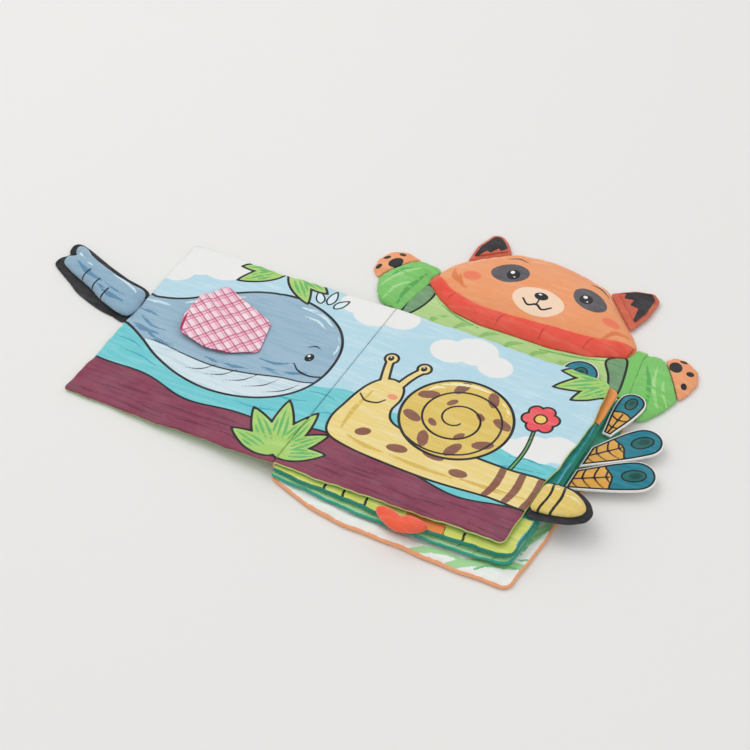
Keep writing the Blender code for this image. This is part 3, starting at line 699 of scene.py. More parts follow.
# sewn leaves
leaves = {
    "frontCover": {"body": "front_cover", "middle": -2.0, "cell": 1.0, "round": 3.0, "inner": 0.3, "sag": 1.3,
                   "rim": 0.0, "bow": ((0, 1), (0, 0)),
        "phase": 0.4,
                   "calm": (78, 124), "corners": [(-180, 0), (6, 0), (6, 185), (-180, 185)]},
    "leafOne": {"body": "leaf_one", "middle": -1.6, "cell": 1.0, "round": 7.0, "inner": 0.3, "sag": 0.0, "rim": 0.4,
                "bow": ((74, 82, 90, 112, 128, 142, 154, 166, 178), (0, 1.6, 3.0, 3.3, 4.0, 4.4, 3.6, 1.6, 0)),
        "phase": 1.9,
                "calm": (34, 78), "corners": [(-6, 0), (180, 5), (180, 185), (-6, 185)],
                "outline": [(-6, 0), (45, 0), (180, 5), (180, 185), (-6, 185)]},
    "leafTwo": {"body": "leaf_two", "middle": -5.2, "cell": 1.6, "round": 9.0, "inner": 1.4, "sag": 0.0, "rim": 1.7,
                "bow": ((0, 1), (0, 0)),
        "phase": 3.1,
                "calm": (250, 260), "corners": [(-6, -3), (190, 0.5), (185.5, 186), (-6, 186)],
                "outline": [(-6, -3), (30, -5.2), (125, -6.8), (190, 0.5), (188, 146), (185.5, 186), (-6, 186)]},
    "leafThree": {"body": "leaf_three", "middle": -8.8, "cell": 1.6, "round": 9.0, "inner": 1.4, "sag": 0.0,
                  "rim": 1.2, "bow": ((0, 1), (0, 0)),
        "phase": 4.6,
                  "calm": (84, 190), "corners": [(-6, -5), (190, -3), (184.6, 186.5), (-6, 186.5)],
                  "outline": [(-6, -5), (48, -9), (125, -9.5), (190, -3), (187.3, 146), (184.6, 186.5), (-6, 186.5)]},
    "backCover": {"body": "back_cover", "middle": -12.4, "cell": 1.6, "round": 9.0, "inner": 1.3, "sag": 0.0,
                  "rim": 1.6, "bow": ((0, 1), (0, 0)),
        "phase": 5.2,
                  "calm": (150, 190), "corners": [(-6, -3), (197, -19), (190.5, 187), (-6, 187)],
                  "outline": [(-6, -3), (12, -8.5), (30, -15.5), (54, -19.8), (123, -20.6), (197, -19), (204, 158),
                              (196.5, 163.5),
                              (190.5, 187), (-6, 187)]},
}
creaseLines = [(22, 150, 58, 118, 0.22), (70, 22, 112, 34, -0.3), (128, 170, 150, 120, 0.22), (96, 186, 84, 140, -0.28),
               (40, 2, 52, 30, 0.24), (118, 2, 126, 24, -0.3), (160, 30, 132, 60, 0.2), (152, 150, 178, 138, -0.26),
               (14, 96, 44, 84, -0.24), (64, 70, 100, 92, 0.18)]


def creases(x, y):
    # fine folds in the cloth: ridges and valleys whose height falls off as a bell curve across each line and fades
    # at its ends
    p = np.stack([np.abs(x).ravel(), y.ravel()], -1)
    height = np.zeros(len(p))
    for x0, y0, x1, y1, rise in creaseLines:
        along, t = toSegment(p, np.array([x0, y0], float), np.array([x1, y1], float))
        height += rise * np.exp(-(along / 2.0) ** 2) * np.sin(math.pi * np.clip(0.08 + 0.84 * t, 0, 1))
    return height.reshape(x.shape)


def leafBody(name, x, y, distance):
    # middle height and half thickness of a sewn leaf: the slow ripple, puckers that fade within 8 mm of the seam,
    # the sag of a page that hangs from the spine, and an edge that rounds over within 2.4 mm
    leaf = leaves[name]
    outer = np.clip(np.abs(x) / 30, 0, 1)
    pucker = 0.24 * np.exp(-(distance / 8) ** 2) * outer * (np.sin(x * 0.52 + 1.3 * np.sin(y / 9))
                                                          + np.sin(y * 0.47 + 1.1 * np.sin(x / 7)))
    middle = leaf["middle"] + softWave(x, y) + pucker - leaf["sag"] * np.sin(math.pi * np.clip(np.abs(x) / 180, 0, 1))
    half = 0.5 * book["leaf"] * rounded(distance, 2.4)
    return middle, half


def makeLeaf(name, materials):
    # two cloths that meet in a seam round the edge. The seam wanders a little, and it is tight along the spine
    leaf = leaves[name]
    side = -1 if name == "frontCover" else 1
    whole = roundLoop(leaf.get("outline", leaf["corners"]), leaf["round"])
    loop = whole.copy()
    loop[:, 0] = side * np.maximum(side * loop[:, 0], leaf["inner"])
    corners = [(side * max(side * c[0], leaf["inner"]), c[1]) for c in leaf["corners"]]
    grid = fourSided(loop, corners, leaf["cell"], 2.6)
    x, y = grid[..., 0], grid[..., 1]
    distance = np.maximum(-toLoop(grid.reshape(-1, 2), whole).reshape(x.shape), 0)
    inner = np.maximum(side * x - leaf["inner"], 0)
    tight = np.minimum(distance, 2.6 * inner)
    tight[0], tight[-1], tight[:, 0], tight[:, -1] = 0, 0, 0, 0
    middle, half = leafBody(name, x, y, tight)
    hem = -0.2 * np.exp(-((distance - 5.2) / 0.9) ** 2) * np.clip(inner / 6, 0, 1)
    fold = creases(x, y) * np.clip(distance / 4, 0, 1) * np.clip(inner / 12, 0, 1)
    puff = 0.0
    bottom = middle - half - hem
    if name == "backCover":
        bottom = leaf["middle"] - half
        # the foot strip is fuller: it rises in half a wave between the leaf above and the seam
        low = np.interp(x, [12, 30, 54, 123, 197], [-8.5, -15.5, -19.8, -20.6, -19]) + 1.2
        high = np.interp(x, [48, 125, 190], [-9.3, -9.8, -3.5])
        puff = 2.6 * np.sin(math.pi * np.clip((y - low) / np.maximum(high - low, 0.5), 0,
                                              1)) ** 0.8 * np.clip((x - 24) / 30, 0, 1) * np.clip((193 - x) / 8, 0, 1)
        puff *= 1 + 0.12 * np.sin(x / 6.5) + 0.1 * np.sin(x / 2.9 + 1)
    # the wander grows away from the spine, and stops where something is sewn on
    phase, outer = leaf["phase"], np.clip(inner / 60, 0, 1)
    still = 1 - np.exp(-(np.maximum(np.abs(y - 0.5 * sum(leaf["calm"])) - 0.5 * (leaf["calm"][1] - leaf["calm"][0]),
                                    0) / 8) ** 2)
    dx = side * outer * still * (0.5 * np.sin(y / 10.5 + phase) + 0.28 * np.sin(y / 4.1 + 2.3 * phase))
    dx += side * np.clip((inner - 110) / 70, 0, 1) ** 2 * np.interp(y, *leaf["bow"])
    dy = np.clip(inner / 25, 0, 1) * (0.5 * np.sin(x / 12.5 + phase) + 0.3 * np.sin(x / 4.7 + 1.7 * phase))
    top = toFrame(x + dx, y + dy, middle + half + hem + fold + puff, leaf["body"])
    piece = closedSkin(name, top, toFrame(x + dx, y + dy, bottom, leaf["body"]), materials)
    nodes = [leaf["body"] + part for part in ("_lower_cloth", "_crinkle_film", "_upper_cloth")]
    settle(piece, leaf["body"], "printed_page", *nodes)
    rim = distance - leaf["rim"]
    setField(piece, "rim", np.concatenate([rim.ravel(), rim[1:-1, 1:-1].ravel()]))
    return piece


def addFields(piece, fields):
    for name, values in fields.items():
        setField(piece, name, values)


def simplePage(p, seed):
    # a plain page inside the book: leaves, dots and brush marks
    marks = [(12 + 22 * k, 14 + (k * 37 + seed * 11) % 40, 30 + 22 * k, 30 + (k * 23 + seed * 7) % 50, 3,
              3) for k in range(8)]
    dots = [toOval(p, (22 + 27 * k, 66 + (k * 41 + seed * 29) % 96), (5, 5)) for k in range(6)]
    blades = [toLoop(p, petal((92 + 7 * math.cos(a), 96 + 7 * math.sin(a)), math.degrees(a), 44, 19,
                              3)) for a in np.arange(5) * math.tau / 5 + seed]
    return {"mark": brushMarks(p, marks), "dot": joined(*dots), "blade": joined(*blades)}


coverPrint = printMaterial("coverPrint", "#A6D173", [
    layer("blade", "#7CC070", line=1.6), layer("dot", "#F3D066", line=1.3),
    layer("mark", "#8CC766", ragged=0.6)], streaks=("#BFE08A", 0.6))
tealPrint = printMaterial("tealPrint", "#2BA58E", [
    layer("blade", "#57C2A8", line=1.6), layer("dot", "#E9E27E", line=1.3),
    layer("mark", "#1E8E7C", ragged=0.6)], streaks=("#46B59D", 0.6))

cover = makeLeaf("frontCover", [leftPrint, coverPrint])
coverPoints = pagePoints(cover, "front_cover")
addFields(cover, leftPicture(coverPoints))
addFields(cover, simplePage(coverPoints * [-1, 1], 1))
topLeaf = makeLeaf("leafOne", [rightPrint, tealPrint])
topPoints = pagePoints(topLeaf, "leaf_one")
addFields(topLeaf, rightPicture(topPoints))
addFields(topLeaf, simplePage(topPoints, 2))
print("spread's leaves ready")

limePrint = printMaterial("limePrint", "#D3DC66", [
    layer("tick", ink), layer("patch", "#F08A3C"),
    layer("blade", "#F1EFA6", line=1.6),
    layer("dot", "#F08A3C", line=1.3),
    layer("tealBorder", "#1E8F85", streak=("#2FA79A", 0.6)),
    layer("skyLine", "#6FA9D6"), layer("rim", "#16806E", ragged=0.3),
    layer("orangeStrip", "#F39A4F", line=0.9)],
    streaks=("#E8EA8C", 0.7))
palePrint = printMaterial("palePrint", "#A8DB9C", [
    layer("mark", "#7FC48A", ragged=0.7), layer("blade", "#C9EAB0", line=1.6),
    # edgeShade is painted shade: a dark teal band along the fore edge
    layer("dot", "#6DBB9B", line=1.3), layer("edgeShade", "#1F8F7C", ragged=0.8),
    layer("rim", "#2BA58E", ragged=0.3)], streaks=("#C2E9B6", 0.7))
whitePrint = printMaterial("whitePrint", "#F4F6F2", [
    layer("rimStroke", "#A8DB9C", ragged=0.9),
    layer("rimShade", "#7FC48A", ragged=0.7, dry=0.4),
    layer("blade", "#CFEBC4", line=1.6), layer("dot", "#F7C7A0", line=1.3),
    # edgeShade is painted shade: a teal-green band along the fore edge
    layer("edgeShade", "#4FA98C", ragged=0.8),
    layer("rim", "#F6A877", ragged=0.5)], streaks=("#E9F2E4", 0.5))
tealCloth = plainMaterial("tealCloth", "#1E9A76", "print", ("#2BAE88", 0.5))
tealSky = plainMaterial("tealSkyCloth", "#1E9A76", "print", ("#34B290", 0.5))
peachCloth = plainMaterial("peachCloth", "#F6B98C", "print", ("#FBD0AE", 0.5))


def secondLeaf():
    # lime page: ticks along its foot, an orange patch behind the coral tab and coloured strips along its fore edge
    piece = makeLeaf("leafTwo", [limePrint, tealCloth])
    p = pagePoints(piece, "leaf_two")
    x, y = p.T
    fields = simplePage(p, 3)
    places = np.array([42, 57, 75, 124, 136, 151])
    feet = np.interp(places, [0, 30, 125, 190], [-3, -5.2, -6.8, 0.5])
    ticks = [toStroke(p, [(place + 1.6, foot + 1.2), (place, foot + 8.8)], [2.2, 2.0]) for place,
             foot in zip(places, feet)]
    fields["tick"] = joined(*ticks)
    fields["patch"] = np.maximum(np.abs(x - 122 + 0.2 * y) - 15, y - 12)
    fields["skyLine"] = np.maximum(np.abs(x - np.interp(y, [0, 146], [187.3, 185.6])) - 0.6, np.abs(y - 77) - 66)
    fields["tealBorder"] = np.maximum(178.0 - x, np.abs(y - 91) - 53.5)
    fields["orangeStrip"] = np.maximum(178.0 - x, 145.5 - y)
    addFields(piece, fields)


def thirdLeaf():
    piece = makeLeaf("leafThree", [palePrint, tealSky])
    p = pagePoints(piece, "leaf_three")
    fields = simplePage(p, 5)
    edge = [(6 + 13 * k, -5, 16 + 13 * k, 5, 2, 2.4) for k in range(14)]
    edge += [(183, 4 + 12 * k, 190, 14 + 12 * k, 2, 2.6) for k in range(14)]
    fields["mark"] = joined(fields["mark"], brushMarks(p, edge))
    # painted shade: a darker teal band along the fore edge above the foot, where the feathers' roots shade the page
    fields["edgeShade"] = np.maximum(179 - p[:, 0], 40 - p[:, 1])
    addFields(piece, fields)


def lowestLeaf():
    piece = makeLeaf("backCover", [whitePrint, peachCloth])
    p = pagePoints(piece)
    fields = simplePage(p, 6)
    rim = [(150, -20, 202, 6, 4, 12), (186, 10, 203, 60, 4, 9), (192, 50, 203, 110, -4, 8),
           (194, 100, 203, 150, 4, 8), (120, -20, 160, -10, 3, 7)]
    fields["rimStroke"] = brushMarks(p, rim)
    # painted shade: a teal-green band along the fore edge above the foot, in place of white where this page lies in
    # shadow under the leaves and feathers
    fields["edgeShade"] = np.maximum(184 - p[:, 0], 52 - p[:, 1])
    fields["rimShade"] = brushMarks(p, [(168, -16, 198, 2, 5, 3.5), (190, 14, 200, 50, 4, 3),
                                        (194, 60, 201, 100, -3, 3), (184, -6, 200, 14, 4, 2.5)])
    addFields(piece, fields)


secondLeaf()
thirdLeaf()
lowestLeaf()
print("stack's leaves ready")


# stuffed and sewn pieces
air = {
    "pressure": 4.0,
    "steps": 20,
    "fade": 8.0,        # millimetres from a join over which the swelling dies out
}


def swell(piece, voxel, cap, joins=()):
    # blows a stuffed piece up as cloth: even mesh, air pressure, no gravity, and a cap on how far a point may move.
    # The move fades out near the lines in `joins`, where the piece runs on into the next one
    scene = bpy.context.scene
    bpy.context.view_layer.objects.active = piece
    grain = piece.modifiers.new("grain", "REMESH")
    grain.mode = "VOXEL"
    grain.voxel_size = voxel * 0.001
    bpy.ops.object.modifier_apply(modifier=grain.name)
    count = len(piece.data.vertices)
    rest = np.empty(count * 3)
    piece.data.vertices.foreach_get("co", rest)
    cloth = piece.modifiers.new("cloth", "CLOTH")
    cloth.settings.use_pressure = True
    cloth.settings.uniform_pressure_force = air["pressure"]
    cloth.settings.effector_weights.gravity = 0.0
    for step in range(air["steps"]):
        scene.frame_set(step + 1)
    made = piece.evaluated_get(bpy.context.evaluated_depsgraph_get())
    now = np.empty(count * 3)
    made.data.vertices.foreach_get("co", now)
    move = (now - rest).reshape(-1, 3)
    far = np.maximum(np.linalg.norm(move, axis=1), 1e-9)
    move *= np.minimum(1, cap * 0.001 / far)[:, None]
    if joins:
        away = np.min([toLine(pagePoints(piece), line) for line in joins], axis=0)
        move *= np.clip(away / air["fade"], 0, 1)[:, None]
    piece.modifiers.remove(cloth)
    scene.frame_set(1)
    piece.data.vertices.foreach_set("co", (rest.reshape(-1, 3) + move).ravel())
    piece.data.shade_smooth()
    piece.data.update()
    print("swelled", piece.name, count, "points, mean move", round(float(far.mean() * 1000), 2), "mm")


def refine(piece, levels=1):
    # one subdivision, made final
    smooth = piece.modifiers.new("smooth", "SUBSURF")
    smooth.levels = levels
    smooth.render_levels = levels
    bpy.context.view_layer.objects.active = piece
    bpy.ops.object.modifier_apply(modifier=smooth.name)


def stuffing(p, whole, depth, roll, crown, seam, soft):
    # height of a stuffed form over its base: a side that rolls over within one roll of the outline, partly as a quarter
    # circle and partly as a parabola, a crowned middle, and a few lumps of filling
    distance = np.maximum(-toLoop(p, np.asarray(whole, float)), 0)
    widest = distance.max()
    roll = roll or 0.8 * widest
    t = np.clip(distance / roll, 0, 1)
    side = (1 - soft) * rounded(distance, roll) + soft * (1 - (1 - t) ** 2)
    rise = (1 - crown) * side + crown * np.sin(0.5 * math.pi * distance / widest)
    x, y = p.T
    lumps = 0.03 * rise * (np.sin(x / 8.5 + 1) * np.cos(y / 7.3) + 0.5 * np.sin(x / 4.1 + y / 5.3))
    return depth * (seam + (1 - seam) * rise + lumps)


def cushion(name, loop, corners, low, depth, carrier, materials, cell=2.0, roll=None, crown=0.25, seam=0.3, gather=0.3,
            whole=None, soft=0.0, slope=None):
    # a stuffed form on a flat base, whose cloth gathers every 8 mm along the seam. Where it is a part of a larger form,
    # `whole` is that form's outline, and the piece keeps its height where it meets the next one. `slope` is a line and
    # a distance: the form sinks to half of its depth towards that line
    loop = np.asarray(loop, float)
    grid = fourSided(loop, corners, cell, 1.5)
    x, y = grid[..., 0], grid[..., 1]
    p = grid.reshape(-1, 2)
    own = np.maximum(-toLoop(p, loop).reshape(x.shape), 0)
    own[0], own[-1], own[:, 0], own[:, -1] = 0, 0, 0, 0
    height = stuffing(p, loop if whole is None else whole, depth, roll, crown, seam, soft).reshape(x.shape)
    if whole is None:
        for edge in (height[0], height[-1], height[:, 0], height[:, -1]):
            edge[:] = depth * seam
    if slope is not None:
        line, length = slope
        t = np.clip(toLine(p, line).reshape(x.shape) / length, 0, 1)
        height = height * (0.5 + 0.5 * t * t * (3 - 2 * t))
    centre = loop.mean(0)
    around = np.arctan2(y - centre[1], x - centre[0])
    count = round(np.hypot(*(loop - np.roll(loop, 1, 0)).T).sum() / 8)
    edge = np.maximum(-toLoop(p, loop if whole is None else np.asarray(whole, float)).reshape(x.shape), 0)
    gathers = gather * np.exp(-edge / 4.5) * np.clip(edge / 1.2, 0, 1) * np.sin(count * around + 2 * np.sin(3 * around))
    bottom = low + depth * min(seam, 0.3) * (1 - rounded(own, 2.5))
    return closedSkin(name, toFrame(x, y, low + height + gathers, carrier), toFrame(x, y, bottom, carrier), materials)


def foldCloth(piece, folds, width=3.2, carrier="table"):
    # pushes the upper side up or down along soft lines, as a bell curve across each line
    points = np.empty(len(piece.data.vertices) * 3)
    piece.data.vertices.foreach_get("co", points)
    points = points.reshape(-1, 3)
    p = pagePoints(piece, carrier)
    above = np.clip((points[:, 2] - points[:, 2].min()) / max(np.ptp(points[:, 2]), 1e-9) * 2 - 0.6, 0, 1)
    for x0, y0, x1, y1, rise in folds:
        away, t = toSegment(p, np.array([x0, y0], float), np.array([x1, y1], float))
        along = np.sin(math.pi * np.clip(0.1 + 0.8 * t, 0, 1))
        points[:, 2] += 0.001 * rise * above * np.exp(-(away / width) ** 2) * along
    piece.data.vertices.foreach_set("co", points.ravel())
    piece.data.update()


def feltPlate(name, loop, corners, low, thickness, carrier, materials, cell=2.0, whole=None):
    # a flat cut of felt or cloth with softly rounded edges. Where it runs on into the next piece, `whole` is the
    # outline of both, and the edge between them stays square
    grid = fourSided(loop, corners, cell, 0.8)
    x, y = grid[..., 0], grid[..., 1]
    distance = -toLoop(grid.reshape(-1, 2), np.asarray(loop if whole is None else whole, float)).reshape(x.shape)
    if whole is None:
        distance[0], distance[-1], distance[:, 0], distance[:, -1] = 0, 0, 0, 0
    half = 0.5 * thickness * (0.25 + 0.75 * rounded(np.maximum(distance, 0), 0.6))
    half[0], half[-1], half[:, 0], half[:, -1] = 0, 0, 0, 0
    middle = low + 0.5 * thickness
    return closedSkin(name, toFrame(x, y, middle + half, carrier), toFrame(x, y, middle - half, carrier), materials)


table = -book["hingeHeight"]   # the table's height, from the hinge line
blackFelt = plainMaterial("blackFelt", "#232327", "felt", ("#3A3A40", 0.6))

fluke = {
    "back": [(-180.6, 85.0), (-180.6, 118.2), (-206.0, 126.0), (-223.0, 131.0), (-240.0, 137.0), (-250.0, 140.5),
             (-260.0, 142.5),
             (-264.5, 139.0), (-263.5, 131.5), (-261.0, 127.5), (-265.5, 121.0), (-265.2, 113.5), (-257.0, 108.0),
             (-244.0, 101.0),
             (-232.0, 94.0), (-221.0, 90.0), (-207.0, 86.0), (-194.0, 84.5)],
    "face": [(-180.8, 88.0), (-180.8, 114.0), (-196.0, 118.4), (-217.0, 124.0), (-238.5, 131.5), (-248.5, 137.0),
             (-256.0, 137.8),
             (-258.0, 132.0), (-254.5, 126.0), (-259.0, 122.5), (-258.5, 115.0), (-250.0, 109.8), (-241.0, 105.8),
             (-223.0, 98.8),
             (-206.0, 91.3)],
    "corners": [(-257.5, 115.5), (-180.8, 88.5), (-180.8, 113.0), (-250, 137)],
    "depth": 8.8,
}
flukeVelour = printMaterial("blueVelour", "#93B4CA", [
    layer("flukeShade", "#5E8FB0", ragged=0.9, dry=0.36),
    layer("flukeLight", "#D6EEF5", ragged=0.9, dry=0.36),
    layer("flukeTick", ink, ragged=0.2)], "velour", ("#86A9C1", 0.7), turn=70.0)


def makeFluke():
    outline = smoothLoop(fluke["back"], 6)
    felt = feltPlate("flukeFelt", outline, [(-265, 113), (-180.6, 85), (-180.6, 118.2), (-254, 142)], table, 1.2,
                     "table", [blackFelt])
    settle(felt, "fluke", "black_felt", "fluke_back")
    body = cushion("flukeBody", smoothLoop(fluke["face"], 6), fluke["corners"], table + 1.25, fluke["depth"], "table",
                   [flukeVelour], 1.6)
    swell(body, 1.5, 1.2)
    refine(body)
    p = pagePoints(body)
    setField(body, "flukeShade", brushMarks(p, [(-190, 95, -218, 103, 2, 4), (-216, 106, -246, 117, 2, 4),
                                                (-190, 100, -214, 106, 1, 2)]))
    setField(body, "flukeLight", brushMarks(p, [(-186, 108, -212, 117, -2, 3.4), (-210, 119, -238, 128, -2, 3),
                                                (-232, 117, -250, 127, 2, 2.4)]))
    ticks = [toStroke(p, [(x0, y0), (x0 + 3.6, y0 + 9.5)], [1.6, 2.2, 1.4]) for x0,
             y0 in ((-210, 91.5), (-222, 97.5), (-234, 103))]
    setField(body, "flukeTick", joined(*ticks))
    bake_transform(body)
    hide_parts("fluke_face", "fluke_wadding")


makeFluke()

tail = {
    "back": [(180.6, 37.0), (196.0, 39.0), (212.0, 44.0), (221.5, 51.5), (223.0, 60.5), (216.5, 69.5), (206.0, 75.5),
             (194.0, 76.5),
             (180.6, 74.5)],
    "face": [(180.8, 42.0), (196.0, 44.0), (209.5, 48.0), (216.8, 54.0), (218.0, 60.5), (212.5, 66.5), (203.5, 71.5),
             (193.0, 72.5),
             (180.8, 70.5)],
    "corners": [(180.8, 42), (215, 52), (213, 66), (180.8, 70.5)],
    "low": -3.4,
    "depth": 7.2,
}
tailVelour = printMaterial("yellowVelour", "#E8CB6C", [
    layer("tailBand", ink, ragged=0.3),
    layer("tailLight", "#F7EBB4", ragged=0.6, dry=0.36)],
    "velour", ("#F0DA8C", 0.6))


def makeTail():
    outline = roundLoop(tail["back"], 4.0)
    felt = feltPlate("tailFelt", outline, [(180.6, 37), (219, 49), (217, 69), (180.6, 74.5)], tail["low"], 1.2,
                     "leaf_one", [blackFelt], 1.5)
    settle(felt, "tail_tip", "black_felt", "tail_tip_back")
    body = cushion("tailBody", roundLoop(tail["face"], 5.0), tail["corners"], tail["low"] + 1.25, tail["depth"],
                   "leaf_one", [tailVelour], 1.3)
    swell(body, 1.3, 0.9)
    refine(body)
    p = pagePoints(body, "leaf_one")
    bands = [toStroke(p, smoothLine([(c - 1, 40), (c + 2.4, 57), (c - 1, 74)], 5), [w, w * 1.2, w]) for c,
             w in ((188.0, 1.7), (196.5, 1.8))]
    setField(body, "tailBand", joined(*bands))
    setField(body, "tailLight", brushMarks(p, [(200, 62, 213, 60, 1, 3.0), (184, 66, 187, 67, 0, 2.2),
                                               (191, 65, 194, 66, 0, 2.0)]))
    settle(body, "tail_tip", "yellow_velour", "tail_tip_face", "tail_tip_wadding")


makeTail()

heart = {
    "outline": [(86.5, -6.0), (89.5, -2.2), (97.0, -1.4), (105.5, -3.4), (114.0, -1.4), (123.5, -2.2), (127.0, -6.0),
                (121.5, -12.5),
                (108.0, -17.5), (93.5, -12.5)],
    "corners": [(93.5, -12.5), (121.5, -12.5), (123.5, -2.2), (89.5, -2.2)],
    "low": -3.2,
    "depth": 7.9,
    "folds": [(106, -1, 107, -12, -1.6), (96, -12, 99, -5, 0.5), (118, -12, 114, -5, 0.5)],
}
coralVelour = plainMaterial("coralVelour", "#F8603F", "velour", ("#FB7A58", 0.6))


def makeHeart():
    # two lobes: the cushion is drawn in along the stitched line between them
    loop = smoothLoop(heart["outline"], 6)
    body = cushion("coralTab", loop, heart["corners"], heart["low"], heart["depth"], "leaf_two", [coralVelour], 1.2,
                   seam=0.35)
    swell(body, 1.2, 0.6)
    refine(body)
    foldCloth(body, heart["folds"], 2.6, "leaf_two")
    settle(body, "heart_tab", "coral_velour", "heart_tab_face", "heart_tab_back")


makeHeart()
print("stuffed tabs ready")


# plaid flap
fin = {
    "outline": [(-130.8, 152.0), (-77.8, 129.0), (-69.5, 96.5), (-92.0, 83.5), (-108.0, 80.5), (-133.5, 86.5),
                (-140.0, 103.0),
                (-142.0, 128.0)],
    "corners": [(-133.5, 86.5), (-69.5, 96.5), (-77.8, 129), (-136, 146)],
    "lift": 5.2,            # how far the loose lower edge stands off the page
    "thickness": 1.3,
    "room": 0.0334,         # slope between the cover and the leaf that closes on it
    "pitches": (11.6, 6.6),  # of the checks, along and across
    "turn": 33.0,
}


def plaidMaterial():
    # checks woven from pairs of lines, turned with the flap: pale squares, pink bands and a thin dark thread beside
    # each band
    nodes = Nodes("pinkPlaid")
    base = nodes.mix(nodes.ramp(nodes.noise(60.0), 0.3, 0.7), colour("#FCE9F0"), colour("#F8D3E0"))
    wander = nodes.math("MULTIPLY", nodes.math("SUBTRACT", nodes.noise(90.0, 1.0), 0.5), 0.1)
    fade = nodes.ramp(nodes.noise(130.0, 2.0), 0.22, 0.42)
    lines = (("plaidU", "#F5BBCF", 2.8, 0.12, 0.6), ("plaidV", "#F5BBCF", 1.6, 0.13, 0.5),
             ("plaidU", "#DB5784", 0.8, 0.0, 0.9),
             ("plaidU", "#DB5784", 0.8, 0.24, 0.85), ("plaidV", "#DB5784", 0.7, 0.0, 0.85),
             ("plaidV", "#DB5784", 0.6, 0.26, 0.7),
             ("plaidU", "#7E2A4C", 0.45, 0.31, 0.95), ("plaidV", "#7E2A4C", 0.42, 0.9, 0.95))
    for field, tone, width, offset, strength in lines:
        turns = nodes.math("ADD", nodes.math("ADD", nodes.field(field), wander), offset)
        gap = nodes.math("ABSOLUTE", nodes.math("SUBTRACT", nodes.math("FRACT", turns), 0.5))
        half = 0.5 * width / fin["pitches"][0 if field == "plaidU" else 1]
        share = nodes.math("MULTIPLY", nodes.ramp(gap, half + 0.008, half - 0.008), strength)
        if width < 0.5:
            share = nodes.math("MULTIPLY", share, fade)
        base = nodes.mix(share, base, colour(tone))
    base = nodes.mix(nodes.ramp(nodes.field("liningEdge"), 0.12, -0.12), base, colour("#B3204F"))
    return clothFinish(nodes, base, "plainCloth")


pinkPlaid = plaidMaterial()
crimsonLining = plainMaterial("crimsonLining", "#B3204F", "plainCloth", ("#C43A63", 0.5))


def makeFin():
    # a double cloth sewn on along its upper right edges. Its height grows with the way from them, and soft folds run
    # across it side by side, as a wave and one sharper ridge
    loop = roundLoop(fin["outline"], 4.0)
    grid = fourSided(loop, fin["corners"], 1.3, 1.2)
    x, y = grid[..., 0], grid[..., 1]
    p = grid.reshape(-1, 2)
    distance = np.maximum(-toLoop(p, loop).reshape(x.shape), 0)
    away = toSegment(p, np.array([-132.0, 152.5]), np.array([-77.8, 129.0]))[0].reshape(x.shape)
    side = toSegment(p, np.array([-77.8, 129.0]), np.array([-69.5, 96.5]))[0].reshape(x.shape)
    share = np.clip(away / 55, 0, 1) * np.clip(side / 50, 0, 1)
    c, s = math.cos(math.radians(fin["turn"])), math.sin(math.radians(fin["turn"]))
    across = x * s + y * c
    loose = np.clip(away / 14, 0, 1) * np.clip(side / 10, 0, 1)
    folds = loose * (0.9 * np.exp(-((across - 33.5) / 3.6) ** 2) - 0.8 * np.exp(-((across - 39.5) / 3.0) ** 2)
                     + 0.5 * np.sin(across / 4.6 + 0.7 * np.sin(x / 11)) + 0.25 * np.sin(across / 2.1 + x / 17))
    half = 0.5 * fin["thickness"] * (0.2 + 0.8 * rounded(distance, 0.9))
    half[0], half[-1], half[:, 0], half[:, -1] = 0, 0, 0, 0
    ground = leafBody("frontCover", x, y, np.full_like(x, 40.0))
    rise = 1.0 + fin["lift"] * share ** 1.2 + np.maximum(folds, -0.25 - 3 * share)
    # a leaf that closes on the flap leaves this much room, so the height eases over to stay under it
    limit = 0.25 + fin["room"] * np.abs(x) - 0.5 * fin["thickness"]
    rise = 0.5 * (rise + limit - np.sqrt((rise - limit) ** 2 + 0.25))
    middle = ground[0] + ground[1] + np.maximum(rise, 0.75)
    px, py = x - 1.0 * share, y + 1.8 * share
    piece = closedSkin("plaidFlap", toFrame(px, py, middle + half, "front_cover"),
                       toFrame(px, py, middle - half, "front_cover"),
                       [pinkPlaid, crimsonLining])
    q = pagePoints(piece, "front_cover")
    setField(piece, "plaidU", (q @ np.array([math.cos(math.radians(33)),
                                             -math.sin(math.radians(33))])) / fin["pitches"][0] + 100)
    setField(piece, "plaidV", (q @ np.array([s, c])) / fin["pitches"][1] + 100)
    lowEdge = toStroke(q, [(-139.5, 108), (-133.8, 86.3), (-108, 80.2), (-84, 87)], [1.2, 3.2, 3.4, 2.4, 0.4])
    setField(piece, "liningEdge", lowEdge)
    settle(piece, "fin", "plaid", "fin_lining", "fin_plaid_face")


makeFin()
print("plaid flap ready")


# felt feathers
feathers = {
    "feather_low": {"foot": (190.1, 92.0), "angle": 31.5, "length": 62.0, "width": 29.5, "root": 0.62, "slant": 0.60},
    "feather_middle": {"foot": (190.3, 117.4), "angle": 46.0, "length": 59.5, "width": 28.0, "root": 0.55,
                       "slant": 1.02},
    "feather_high": {"foot": (193.9, 144.5), "angle": 85.0, "length": 48.6, "width": 20.8, "root": 0.34, "slant": 0.0},
    "feather_top": {"foot": (150.0, 187.6), "angle": 90.0, "length": 20.0, "width": 29.0, "root": 0.85, "slant": 0.0},
}
featherFelt = printMaterial("featherFelt", "#F3F3EF", [
    layer("featherEdge", ink, ragged=0.1),
    layer("featherTip", "#1F7E92", streak=("#2F93A6", 0.6)),
    layer("featherBase", "#E5A94A", streak=("#EDBC68", 0.6)),
    layer("featherEye", "#1F6B66", line=1.2),
    layer("featherPupil", "#18504F", ragged=0.2),
    layer("featherBarb", ink, ragged=0.1)], "felt", ("#FFFFFF", 0.2))
whiteFelt = plainMaterial("whiteFelt", "#F3F3EF", "felt", ("#FFFFFF", 0.3))


